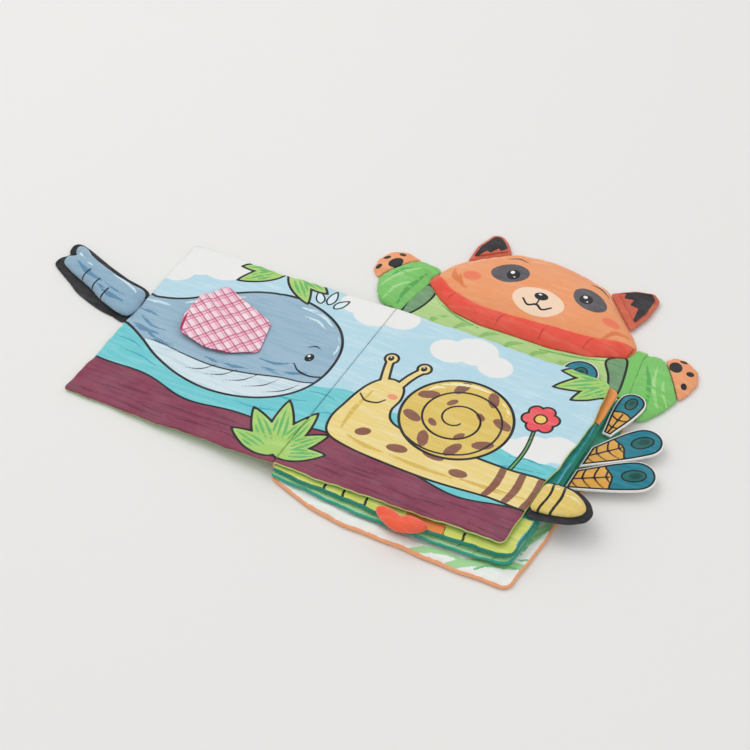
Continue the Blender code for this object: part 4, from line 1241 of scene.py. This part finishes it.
def featherOutline(shape):
    # a drop: narrow at its foot, widest near the tip, closed by half a circle. The slant turns the foot to the
    # page's edge
    half = 0.5 * shape["width"]
    straight = shape["length"] - half
    t = np.linspace(0, 1, 9)
    v = half * (shape["root"] + (1 - shape["root"]) * np.sin(0.5 * math.pi * t) ** 1.2)
    start = half * shape["root"] * shape["slant"]
    a = np.radians(np.linspace(15, 165, 11))
    u = np.concatenate([start + (straight - start) * t, straight + half * np.sin(a),
                        (-start + (straight + start) * t)[::-1]])
    v = np.concatenate([v, half * np.cos(a), -v[::-1]])
    c, s = math.cos(math.radians(shape["angle"])), math.sin(math.radians(shape["angle"]))
    return np.stack([shape["foot"][0] + u * c - v * s, shape["foot"][1] + u * s + v * c], -1)


def makeFeather(name):
    shape = feathers[name]
    loop = featherOutline(shape)
    c, s = math.cos(math.radians(shape["angle"])), math.sin(math.radians(shape["angle"]))

    def at(u, v):
        return (shape["foot"][0] + u * c - v * s, shape["foot"][1] + u * s + v * c)

    half, length = 0.5 * shape["width"], shape["length"]
    start = half * shape["root"] * shape["slant"]
    corners = [at(-start, -shape["root"] * half), at(length - 0.29 * half, -0.7 * half),
               at(length - 0.29 * half, 0.7 * half),
               at(start, shape["root"] * half)]
    piece = feltPlate(name + "_felt", loop, corners, -9.85, 2.1, "leaf_three", [featherFelt, whiteFelt], 1.0)
    p = pagePoints(piece, "leaf_three")
    q = p - np.array(shape["foot"])
    u, v = q @ np.array([c, s]), q @ np.array([-s, c])
    foot = [tuple(np.array(corner) - 6 * np.array([c, s])) for corner in (corners[3], corners[0])]
    body = joined(toLoop(p, loop), toLoop(p, np.array([corners[0], corners[3], *foot])))
    tipStart = length - 1.12 * shape["width"]
    tipEdge = tipStart + 1.6 * np.cos(v / 3.4)
    setField(piece, "featherEdge", body + 1.0)
    setField(piece, "featherTip", np.maximum(body + 2.5, tipEdge - u))
    setField(piece, "featherBase", np.maximum(body + 2.5, u - (tipEdge - 1.5)))
    local = np.stack([u, v], -1)
    middle = length - 0.56 * shape["width"]
    eye = (0.30 * shape["width"], 0.19 * shape["width"])
    setField(piece, "featherEye", toOval(local, (middle, 0), eye))
    setField(piece, "featherPupil", toOval(local, (middle + 1.2, 0), (0.55 * eye[0], 0.5 * eye[1])))
    barbs = [toStroke(local, [(-8, 0), (tipStart, 0)], [1.5, 1.3])]
    for k in range(-1, int(length / 8)):
        for side in (-1, 1):
            line = smoothLine([(8.5 * k, 0), (8.5 * k + 2.5, side * 6), (8.5 * k + 9, side * 15)], 5)
            barbs.append(toStroke(local, line, [1.5, 1.4, 1.1]))
    setField(piece, "featherBarb", np.maximum(np.maximum(joined(*barbs), body + 2.0), u - tipStart))
    settle(piece, name, "feather_felt", name + "_face", name + "_backing")


for featherName in feathers:
    makeFeather(featherName)
print("feathers ready")


# shoulders, arms and head
shoulders = {
    "panel": [(-2.4, 193.0), (-2.6, 188.2), (190.6, 188.2), (183.2, 234.0), (184.0, 242.4), (176.4, 241.6),
              (173.6, 230.6), (171.4, 228.3), (145, 216.1), (116, 210.6), (85, 209.6),
              (57, 208.1), (33, 211.6), (18, 220.1), (3, 231.6)],
    "panelCorners": [(-2.6, 188.2), (190.6, 188.2), (184.0, 242.4), (3, 231.6)],
    "whole": [(-30, 188.2), (240, 188.2), (240, 242.4), (176.4, 241.6), (173.6, 230.6), (171.4, 228.3), (145, 216.1),
              (116, 210.6),
              (85, 209.6), (57, 208.1), (33, 211.6), (18, 220.1), (3, 231.6), (-30, 236)],
}
shoulderPrint = printMaterial("shoulderPrint", "#B5D88B", [
    layer("bodyStroke", "#8FC56C", ragged=0.8, dry=0.34),
    layer("bodyEdge", "#6FB659", ragged=0.6),
    layer("sleeveEnd", "#7CC967"), layer("armpit", "#6F9A72", line=1.9,
                                                streak=("#86AE80", 0.6))], streaks=("#C9E5A6", 0.7), turn=60.0)
sleevePrint = printMaterial("sleevePrint", "#7CC967", [
    layer("sleeveStroke", "#A6DB8C", ragged=0.8, dry=0.36),
    layer("sleeveShade", "#57AF55", ragged=0.8, dry=0.36)],
    streaks=("#8FD37B", 0.7), turn=40.0)


def makeShoulders():
    loop = roundLoop(shoulders["panel"], 1.0)
    panel = feltPlate("shoulderPanel", loop, shoulders["panelCorners"], table, 3.2, "table", [shoulderPrint], 1.6,
                      whole=shoulders["whole"])
    p = pagePoints(panel)
    setField(panel, "sleeveEnd", toLoop(p, np.array([(181, 184), (198, 184), (194, 240), (168, 240), (173, 225)],
                                                    float)))
    left = toLoop(p, smoothLoop([(0.5, 188), (8, 199), (12, 212), (12.5, 224), (6, 231), (0.5, 226), (-1.5, 208)], 5))
    right = toLoop(p, smoothLoop([(181.5, 188), (180.5, 202), (173.5, 227), (164, 225), (160, 218), (168, 205),
                                  (176, 188)], 5))
    setField(panel, "armpit", joined(left, right))
    marks = [(22 + 21 * k, 190 + (k * 5) % 6, 34 + 21 * k, 206, 3, 5) for k in range(7)]
    setField(panel, "bodyStroke", brushMarks(p, marks))
    setField(panel, "bodyEdge", brushMarks(p, [(20, 216, 60, 205, -2, 2), (110, 206, 166, 221, -2, 2)]))
    settle(panel, "back_cover", "pale_print", "shoulder_panel")


makeShoulders()

arms = {
    "left": {
        "sleeve": [(-36.2, 219.8), (-31, 208), (-22, 196.5), (-3.2, 191.8), (-1.9, 193.4), (0.9, 212), (3.6, 229),
                   (3.4, 240), (5.4, 250),
                   (2.6, 254.2), (-14.6, 253.8)],
        "sleeveCorners": [(-36.2, 219.8), (-3.2, 191.8), (2.6, 254.2), (-14.6, 253.8)],
        "paw": [(-14.4, 254.1), (-28.0, 257.5), (-40.5, 252.0), (-45.5, 240.0), (-44.0, 227.0), (-36.4, 219.9)],
        "pawCorners": [(-44.0, 227), (-36.4, 219.9), (-14.4, 254.1), (-34, 256.5)],
        "whole": [(-44, 227), (-36.4, 219.9), (-31, 208), (-22, 196.5), (-4, 192), (40, 186), (40, 262), (2.6, 255.2),
                  (-14.5, 254.6),
                  (-28, 258), (-40.5, 252.5), (-45.8, 240)],
        "inner": [(-3, 193), (0, 212), (3, 230), (5.4, 252)],
        "wrist": [(-36.3, 219.8), (-14.5, 254)],
        "pads": [((-29.5, 238.0), (6.4, 4.6), 60), ((-40.2, 230.0), (2.9, 2.3), 75), ((-39.2, 241.8), (3.0, 2.3), 35),
                 ((-29.5, 249.5), (3.0, 2.3), -10)],
        "strokes": [(-28, 212, -8, 242, 3, 4), (-20, 200, -4, 228, 3, 3)],
        "shades": [(-8, 200, -2, 240, 2, 4), (-26, 222, -14, 240, 2, 3)],
        "folds": [(-30, 214, 0, 208, 0.9), (-24, 228, 1, 226, -0.8), (-14, 246, 2, 236, 0.8),
                  (-20, 206, -2, 200, -0.6)],
        "hinge": (-0.5, 221.5),
        "outward": (-0.9945, 0.105),
        "nodes": ["left_sleeve"],
    },
    "right": {
        "sleeve": [(182.2, 233.8), (189.8, 190.3), (196.8, 175), (205, 170.5), (211.5, 175.5), (219, 190),
                   (223.9, 205.6), (198.9, 240.4),
                   (194, 243.2), (183, 242.6)],
        "sleeveCorners": [(205, 170.5), (223.9, 205.6), (198.9, 240.4), (182.2, 233.8)],
        "paw": [(224.1, 205.9), (228.5, 217.0), (230.0, 230.0), (225.5, 242.0), (213.0, 249.0), (202.5, 247.5),
                (199.1, 240.6)],
        "pawCorners": [(224.1, 205.9), (230.2, 232), (213, 249), (199.1, 240.6)],
        "whole": [(140, 176), (197.5, 174), (205, 169.5), (212, 175), (219.6, 190), (224.4, 205.6), (228.8, 217),
                  (230.2, 230), (225.8, 242.4),
                  (213, 249.5), (202, 248), (198.8, 243.4), (190, 243.8), (140, 244)],
        "inner": [(183, 242.6), (182.2, 234), (189.8, 190), (196.8, 175)],
        "wrist": [(224, 205.7), (199, 240.5)],
        "pads": [((209.5, 234.5), (6.4, 4.8), -52), ((212.0, 244.0), (3.0, 2.3), 0), ((221.6, 233.5), (3.2, 2.5), 50),
                 ((222.5, 219.5), (3.0, 2.3), -75)],
        "strokes": [(214, 190, 198, 226, 3, 4), (219, 196, 208, 216, 2, 3)],
        "shades": [(208, 182, 190, 226, -2, 4)],
        "folds": [(188, 214, 220, 206, 0.9), (192, 196, 216, 190, -0.8), (186, 232, 208, 222, 0.8),
                  (196, 182, 210, 180, 0.5)],
        "hinge": (198.5, 207.0),
        "outward": (0.898, 0.441),
        "nodes": ["right_sleeve", "right_shoulder"],
    },
}
pawPrint = printMaterial("pawPrint", "#F3A06C", [layer("pad", ink)], streaks=("#F7B78A", 0.6))


def makeArm(side):
    # the sleeve runs from the shoulder to the paw
    arm = arms[side]
    whole, slope = smoothLoop(arm["whole"], 4), (arm["inner"], 15.0)
    sleeve = cushion(side + "Sleeve", roundLoop(arm["sleeve"], 1.2), arm["sleeveCorners"], table, 6.6, "table",
                     [sleevePrint], 1.5,
                     roll=15.0, seam=0.12, whole=whole, soft=0.35, slope=slope)
    swell(sleeve, 1.7, 0.8, joins=(arm["inner"], arm["wrist"]))
    refine(sleeve)
    foldCloth(sleeve, arm["folds"])
    p = pagePoints(sleeve)
    setField(sleeve, "sleeveStroke", brushMarks(p, arm["strokes"]))
    setField(sleeve, "sleeveShade", brushMarks(p, arm["shades"]))
    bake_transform(sleeve)
    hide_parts(*arm["nodes"])
    paw = cushion(side + "Paw", roundLoop(arm["paw"], 1.2), arm["pawCorners"], table, 6.6, "table", [pawPrint], 1.3,
                  roll=15.0, seam=0.12, whole=whole, soft=0.35)
    swell(paw, 1.5, 0.8, joins=(arm["wrist"],))
    refine(paw)
    setField(paw, "pad", joined(*[toOval(pagePoints(paw), *pad) for pad in arm["pads"]]))
    settle(paw, side + "_arm", "orange_cloth", side + "_paw")


makeArm("left")
makeArm("right")
print("arms ready")

head = {
    "chin": [(3, 232.5), (18, 221), (33, 212.5), (57, 209), (85, 210.5), (116, 211.5), (145, 217), (172, 229.5)],
    "crown": [(175, 240.5), (170, 249.5), (162.5, 258), (131.5, 289.5), (118, 295.5), (100, 299.5), (78, 301),
              (60, 298.5), (44.5, 293.4),
              (17, 269.4), (6, 252.5)],
    "collarTop": [(5.2, 243), (12, 236), (30, 226), (54, 221), (88, 223.5), (135, 228.5), (162, 235.5), (173.4, 239.5)],
    "backCorners": [(5, 236), (174, 233), (150, 271), (30, 281)],
    "faceCorners": [(6.2, 243), (173.4, 240), (147, 274), (31, 281)],
    "backThickness": 1.1,
    "low": 1.2,
    "depth": 12.0,
    "roll": 34.0,
    "folds": [(60, 222, 62, 240, 0.5), (104, 226, 103, 242, -0.5), (140, 232, 132, 248, 0.5), (24, 232, 36, 246, -0.5),
              (84, 297, 84, 282, -0.5), (122, 291, 116, 276, 0.5), (52, 288, 62, 276, 0.5), (156, 260, 144, 252, -0.5)],
    "collarRise": 0.5,
    "collarFolds": 0.3,
}
headPrint = printMaterial("headPrint", "#F3A06C", [
    layer("headStroke", "#F8BE94", ragged=0.8, dry=0.36),
    layer("headShade", "#E5814C", ragged=0.8, dry=0.36),
    layer("cheek", "#F27F5E", soft=0.8),
    layer("muzzle", "#FBDCC0", line=0.0, ragged=0.3),
    layer("eyePatch", "#5A575B", ragged=0.4, streak=("#6A676C", 0.6)),
    layer("headInk", ink),
    layer("headGlint", tones["white"])], streaks=("#F6AE80", 0.6))
backPrint = plainMaterial("headBackCloth", "#F3A06C", "print", ("#F6AE80", 0.6))


def headFields(piece):
    # a plain cub's face: two slanted patches, round eyes, a pale muzzle, a small nose and a curved mouth
    p = pagePoints(piece)
    setField(piece, "headStroke", brushMarks(p, [(58, 290, 92, 295, 3, 4), (110, 292, 140, 276, 3, 4),
                                                 (22, 262, 44, 282, 2, 3), (64, 284, 84, 288, 2, 2.5)]))
    setField(piece, "headShade", brushMarks(p, [(16, 250, 30, 236, -3, 5), (150, 234, 168, 246, 3, 5),
                                                (24, 244, 36, 232, -2, 3), (80, 296, 104, 296, 1, 3)]))
    setField(piece, "cheek", joined(toOval(p, (33, 246), (7.5, 5)), toOval(p, (149, 250), (7.5, 5))))
    setField(piece, "muzzle", toOval(p, (91, 243), (21, 13.5)))
    setField(piece, "eyePatch", joined(toOval(p, (58, 262), (15, 11), 24), toOval(p, (125, 264), (15, 11), -24)))
    smile = toStroke(p, smoothLine([(79, 241), (85, 236.5), (91, 239.6), (97, 236.5), (103, 241)], 6), [1.5, 1.9, 1.5])
    nose = toOval(p, (91, 248.5), (5.6, 3.9))
    lip = toStroke(p, [(91, 246), (91, 239)], [1.3, 1.3])
    brows = [toStroke(p, smoothLine(line, 5), [0.8, 1.8,
                                               0.8]) for line in ([(48, 279), (56, 282.5), (65, 281)],
                                                                  [(117, 283), (126, 284), (134, 280)])]
    setField(piece, "headInk", joined(smile, nose, lip, *brows, toOval(p, (61, 261), (5.2, 5.6)),
                                      toOval(p, (122, 263), (5.2, 5.6))))
    setField(piece, "headGlint", joined(toOval(p, (59.4, 263.2), (1.7, 1.8)), toOval(p, (120.4, 265.2), (1.7, 1.8)),
                                        toOval(p, (62.8, 259), (0.8, 0.8)),
                                        toOval(p, (123.8, 261), (0.8, 0.8)), toOval(p, (89.4, 250), (1.6, 0.8))))


def headOutline():
    return smoothLoop(head["chin"] + head["crown"], 6)


def makeHead():
    back = feltPlate("headBackCloth", headOutline(), head["backCorners"], table, head["backThickness"], "table",
                     [backPrint], 2.2)
    settle(back, "head", "orange_cloth", "head_back")
    crown = np.array(head["crown"], float)
    middle = crown.mean(0)
    inset = 0.8 * (middle - crown) / np.linalg.norm(middle - crown, axis=1)[:, None]
    face = smoothLoop(head["collarTop"] + (crown + inset).tolist(), 5)
    body = cushion("headCushion", face, head["faceCorners"], table + head["low"], head["depth"], "table", [headPrint],
                   1.8,
                   roll=head["roll"], crown=0.25, seam=0.1, whole=headOutline(), soft=0.6)
    swell(body, 1.9, 1.4, joins=(head["collarTop"],))
    refine(body)
    foldCloth(body, head["folds"], 4.0)
    headFields(body)
    settle(body, "head", "orange_cloth", "head_face", "head_wadding")


makeHead()
print("head ready")

# the collar's coral cloth, with darker coral strokes across the pleats as painted shade in the folds
collarClothFoldShade = printMaterial("collarClothFoldShade", "#F25442", [layer("fold", "#D93A30", ragged=0.5)],
                            streaks=("#F66E58", 0.7), turn=80.0)


def makeCollar():
    # a soft band of cloth on the lower slope of the head: it follows the head's height, and stands off it by half a
    # wave with slanting pleats
    steps = np.linspace(0, 1, 150)
    low, high = resample(head["chin"], steps), resample(smoothLine(head["collarTop"], 5), steps)
    across = np.broadcast_to(0.5 - 0.5 * np.cos(math.pi * np.linspace(0, 1, 19))[:, None], (19, 150))
    along = np.broadcast_to(steps[None], across.shape)
    grid = low[None] * (1 - across[..., None]) + high[None] * across[..., None]
    x, y = grid[..., 0], grid[..., 1]
    p = grid.reshape(-1, 2)
    height = stuffing(p, headOutline(), head["depth"], head["roll"], 0.25, 0.1, 0.6).reshape(x.shape)
    puff = np.sqrt(np.clip(np.sin(math.pi * np.clip(across * 0.9 + 0.05, 0, 1)), 0, 1))
    pleats = np.sin(118 * along + 5 * across) + 0.6 * np.sin(57 * along - 3 * across + 1)
    bottom = np.full_like(x, table + head["low"])
    top = table + head["low"] + height + head["collarRise"] * puff + head["collarFolds"] * pleats * puff
    piece = closedSkin("collarCloth", toFrame(x, y, top, "table"), toFrame(x, y, bottom, "table"), [collarClothFoldShade])
    p = pagePoints(piece)
    # painted shade: short darker strokes where the pleats fold in
    setField(piece, "fold", brushMarks(p, [(26, 220, 30, 226, 1, 1.6), (70, 212, 74, 222, 1, 1.6),
                                           (106, 213, 108, 225, 1, 1.6), (140, 219, 144, 230, 1, 1.6)]))
    settle(piece, "head", "coral_velour", "collar_band")


makeCollar()

neck = {
    "seams": {"neckLeft": [(5.0, 231.3), (34.0, 211.8)], "neckMiddle": [(32.0, 210.4), (117.0, 210.9)],
              "neckRight": [(115.0, 210.8), (146.5, 217.4)], "neckCorner": [(144.0, 216.4), (172.0, 229.2)]},
    "reach": 4.6,
    "low": 1.7,
    "thickness": 0.6,
}
neckCloth = plainMaterial("neckCloth", "#A9D083", "print", ("#BFE09C", 0.6))


def makeNeck():
    # strips of cloth under the seam between shoulders and head. They lie hidden at rest
    for name, (first, last) in neck["seams"].items():
        first, last = np.array(first), np.array(last)
        along = (last - first) / np.hypot(*(last - first))
        across = np.array([-along[1], along[0]])
        length, reach = np.hypot(*(last - first)), neck["reach"]
        down, right = np.meshgrid(np.linspace(-reach, reach, 31), np.linspace(0, length, int(length / 1.5)),
                                  indexing="ij")
        x, y = first[0] + along[0] * right + across[0] * down, first[1] + along[1] * right + across[1] * down
        half = np.full_like(x, 0.5 * neck["thickness"])
        half[0], half[-1], half[:, 0], half[:, -1] = 0, 0, 0, 0
        middle = table + neck["low"]
        strip = closedSkin(name, toFrame(x, y, middle + half, "table"), toFrame(x, y, middle - half, "table"),
                           [neckCloth])
        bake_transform(strip)


makeNeck()

ears = {
    "left": {"outline": [(44.8, 293.0), (36.9, 303.4), (28.9, 309.4), (21.4, 307.9), (16.2, 289.9), (17.3, 269.3)],
             "corners": [(17.3, 269.3), (44.8, 293.0), (30.4, 309), (17.4, 299)],
             "inner": [(41.2, 293.6), (35.0, 300.9), (28.8, 305.2), (24.0, 304.0), (19.6, 289.5), (19.8, 275.4)],
             "innerCorners": [(19.8, 275.4), (41.2, 293.6), (29, 305.2), (21.6, 298)],
             "tuft": [(21, 272), (26, 286), (29.5, 284.5), (33, 292.5), (36, 290), (40, 297), (46, 292), (34, 280)]},
    "right": {"outline": [(162.3, 257.8), (168.2, 278.6), (168.7, 298.6), (161.7, 305.1), (147.2, 301.1),
                          (131.3, 289.2)],
              "corners": [(162.3, 257.8), (168.8, 297.6), (153.2, 303.8), (131.3, 289.2)],
              "inner": [(161.6, 266.2), (165.0, 279.3), (165.4, 296.4), (160.8, 301.4), (148.6, 297.8), (137.6, 290.4)],
              "innerCorners": [(161.6, 266.2), (165.3, 293), (153, 299.4), (137.6, 290.4)],
              "tuft": [(134, 289), (143, 292), (143.5, 286.5), (151, 288.5), (150.5, 282), (158, 281), (160, 266),
                       (150, 270)]},
}
earPrint = printMaterial("earPrint", "#D0644C", [layer("earStroke", "#E58A66", ragged=0.8,
                                                  dry=0.36)], streaks=("#DA7659", 0.7))
earInner = printMaterial("earInner", "#2A2528", [layer("tuft", "#D0644C", ragged=0.2)], "felt",
                         ("#3C363A", 0.6))


def makeEar(side):
    ear = ears[side]
    body = cushion(side + "Ear", roundLoop(ear["outline"], 3.0), ear["corners"], table + 1.0, 4.0, "table",
                   [earPrint], 1.3, seam=0.4)
    refine(body)
    p = pagePoints(body)
    middle = np.mean(ear["outline"], 0)
    setField(body, "earStroke", brushMarks(p, [(middle[0] - 8, middle[1] - 6, middle[0] - 4, middle[1] + 12, 2, 3),
                                               (middle[0] + 6, middle[1] + 8, middle[0] + 9, middle[1] - 4, 1, 3)]))
    settle(body, side + "_ear", "rust_cloth", side + "_ear_cloth")
    patch = feltPlate(side + "EarPatch", roundLoop(ear["inner"], 2.0), ear["innerCorners"], table + 4.75, 0.7,
                      "table", [earInner], 1.3)
    setField(patch, "tuft", toLoop(pagePoints(patch), np.array(ear["tuft"])))
    settle(patch, side + "_ear", "black_felt", side + "_ear_inner")


makeEar("left")
makeEar("right")
print("ears ready")


# spine
spine = {"halfWidth": 1.0, "height": 12.2, "length": 182.0, "threadRadius": 0.3, "turns": 28, "reach": 1.4,
         "threadHeight": 5.5,
         "stitched": 169.0}
spineCloth = plainMaterial("spineCloth", "#F6B98C", "print", ("#FBD0AE", 0.5))
threadMaterial = plainMaterial("spineThread", "#E9E8E2", "plainCloth")


def makeSpine():
    # a folded strip: a flattened loop in section, carried along the spine
    turn = np.linspace(0, math.tau, 25)[:-1]
    along = np.linspace(-0.5, 0.5, 93) * spine["length"]
    c, s = np.cos(turn), np.sin(turn)
    x = spine["halfWidth"] * np.sign(c) * np.abs(c) ** 0.5
    z = 0.5 * spine["height"] * (1 + np.sign(s) * np.abs(s) ** 0.35)
    wave = 0.12 * np.sin(along / 5.5)[:, None]
    points = np.stack([x[None] + wave * np.sign(x)[None] * 0.5, np.broadcast_to(along[:, None], (93, 24)),
                       np.broadcast_to(z[None], (93, 24))], -1)
    index = np.arange(93 * 24).reshape(93, 24)
    after = np.roll(index, -1, 1)
    faces = np.stack([index[:-1], index[1:], after[1:], after[:-1]], -1).reshape(-1, 4)
    middles = np.array([[0, along[0], 0.5 * spine["height"]], [0, along[-1], 0.5 * spine["height"]]])
    allPoints = np.concatenate([points.reshape(-1, 3), middles]) * 0.001 + [book["spineX"] * 0.001, 0, 0]
    first, last = len(allPoints) - 2, len(allPoints) - 1
    caps = np.concatenate([np.stack([index[0], after[0], np.full(24, first), np.full(24, first)], -1),
                           np.stack([after[-1], index[-1], np.full(24, last), np.full(24, last)], -1)])[:, :3]
    mesh = bpy.data.meshes.new("spineStrip")
    mesh.from_pydata(allPoints.tolist(), [], faces.tolist() + caps.tolist())
    mesh.materials.append(spineCloth)
    mesh.shade_smooth()
    piece = bpy.data.objects.new("spineStrip", mesh)
    bpy.context.scene.collection.objects.link(piece)
    settle(piece, "back_cover", "peach_cloth", "spine_binding")


def makeThread():
    # zigzag stitching: a round section carried along a path that swings from side to side
    turns = spine["turns"]
    steps = np.arange(turns * 6 + 1) / 6
    along = (steps / turns - 0.5) * spine["stitched"]
    swing = spine["reach"] * np.sin(0.5 * math.pi * np.clip(1.5 * (2 * np.abs(steps % 2 - 1) - 1), -1, 1))
    path = np.stack([np.full_like(along, book["spineX"] - spine["halfWidth"] - 0.8), along,
                     spine["threadHeight"] + swing], -1)
    ahead = np.gradient(path, axis=0)
    ahead /= np.linalg.norm(ahead, axis=1)[:, None]
    out = np.array([1.0, 0, 0])
    side = np.cross(ahead, out)
    turn = np.linspace(0, math.tau, 9)[:-1]
    ring = spine["threadRadius"] * (np.cos(turn)[None, :, None] * out + np.sin(turn)[None, :, None] * side[:, None])
    points = (path[:, None] + ring).reshape(-1, 3) * 0.001
    index = np.arange(len(path) * 8).reshape(-1, 8)
    after = np.roll(index, -1, 1)
    faces = np.stack([index[:-1], after[:-1], after[1:], index[1:]], -1).reshape(-1, 4).tolist()
    faces += [index[0][::-1].tolist(), index[-1].tolist()]
    mesh = bpy.data.meshes.new("spineThread")
    mesh.from_pydata(points.tolist(), [], faces)
    mesh.materials.append(threadMaterial)
    mesh.shade_smooth()
    piece = bpy.data.objects.new("spineThread", mesh)
    bpy.context.scene.collection.objects.link(piece)
    settle(piece, "back_cover", "thread", "spine_stitching")


makeSpine()
makeThread()
print("spine ready")
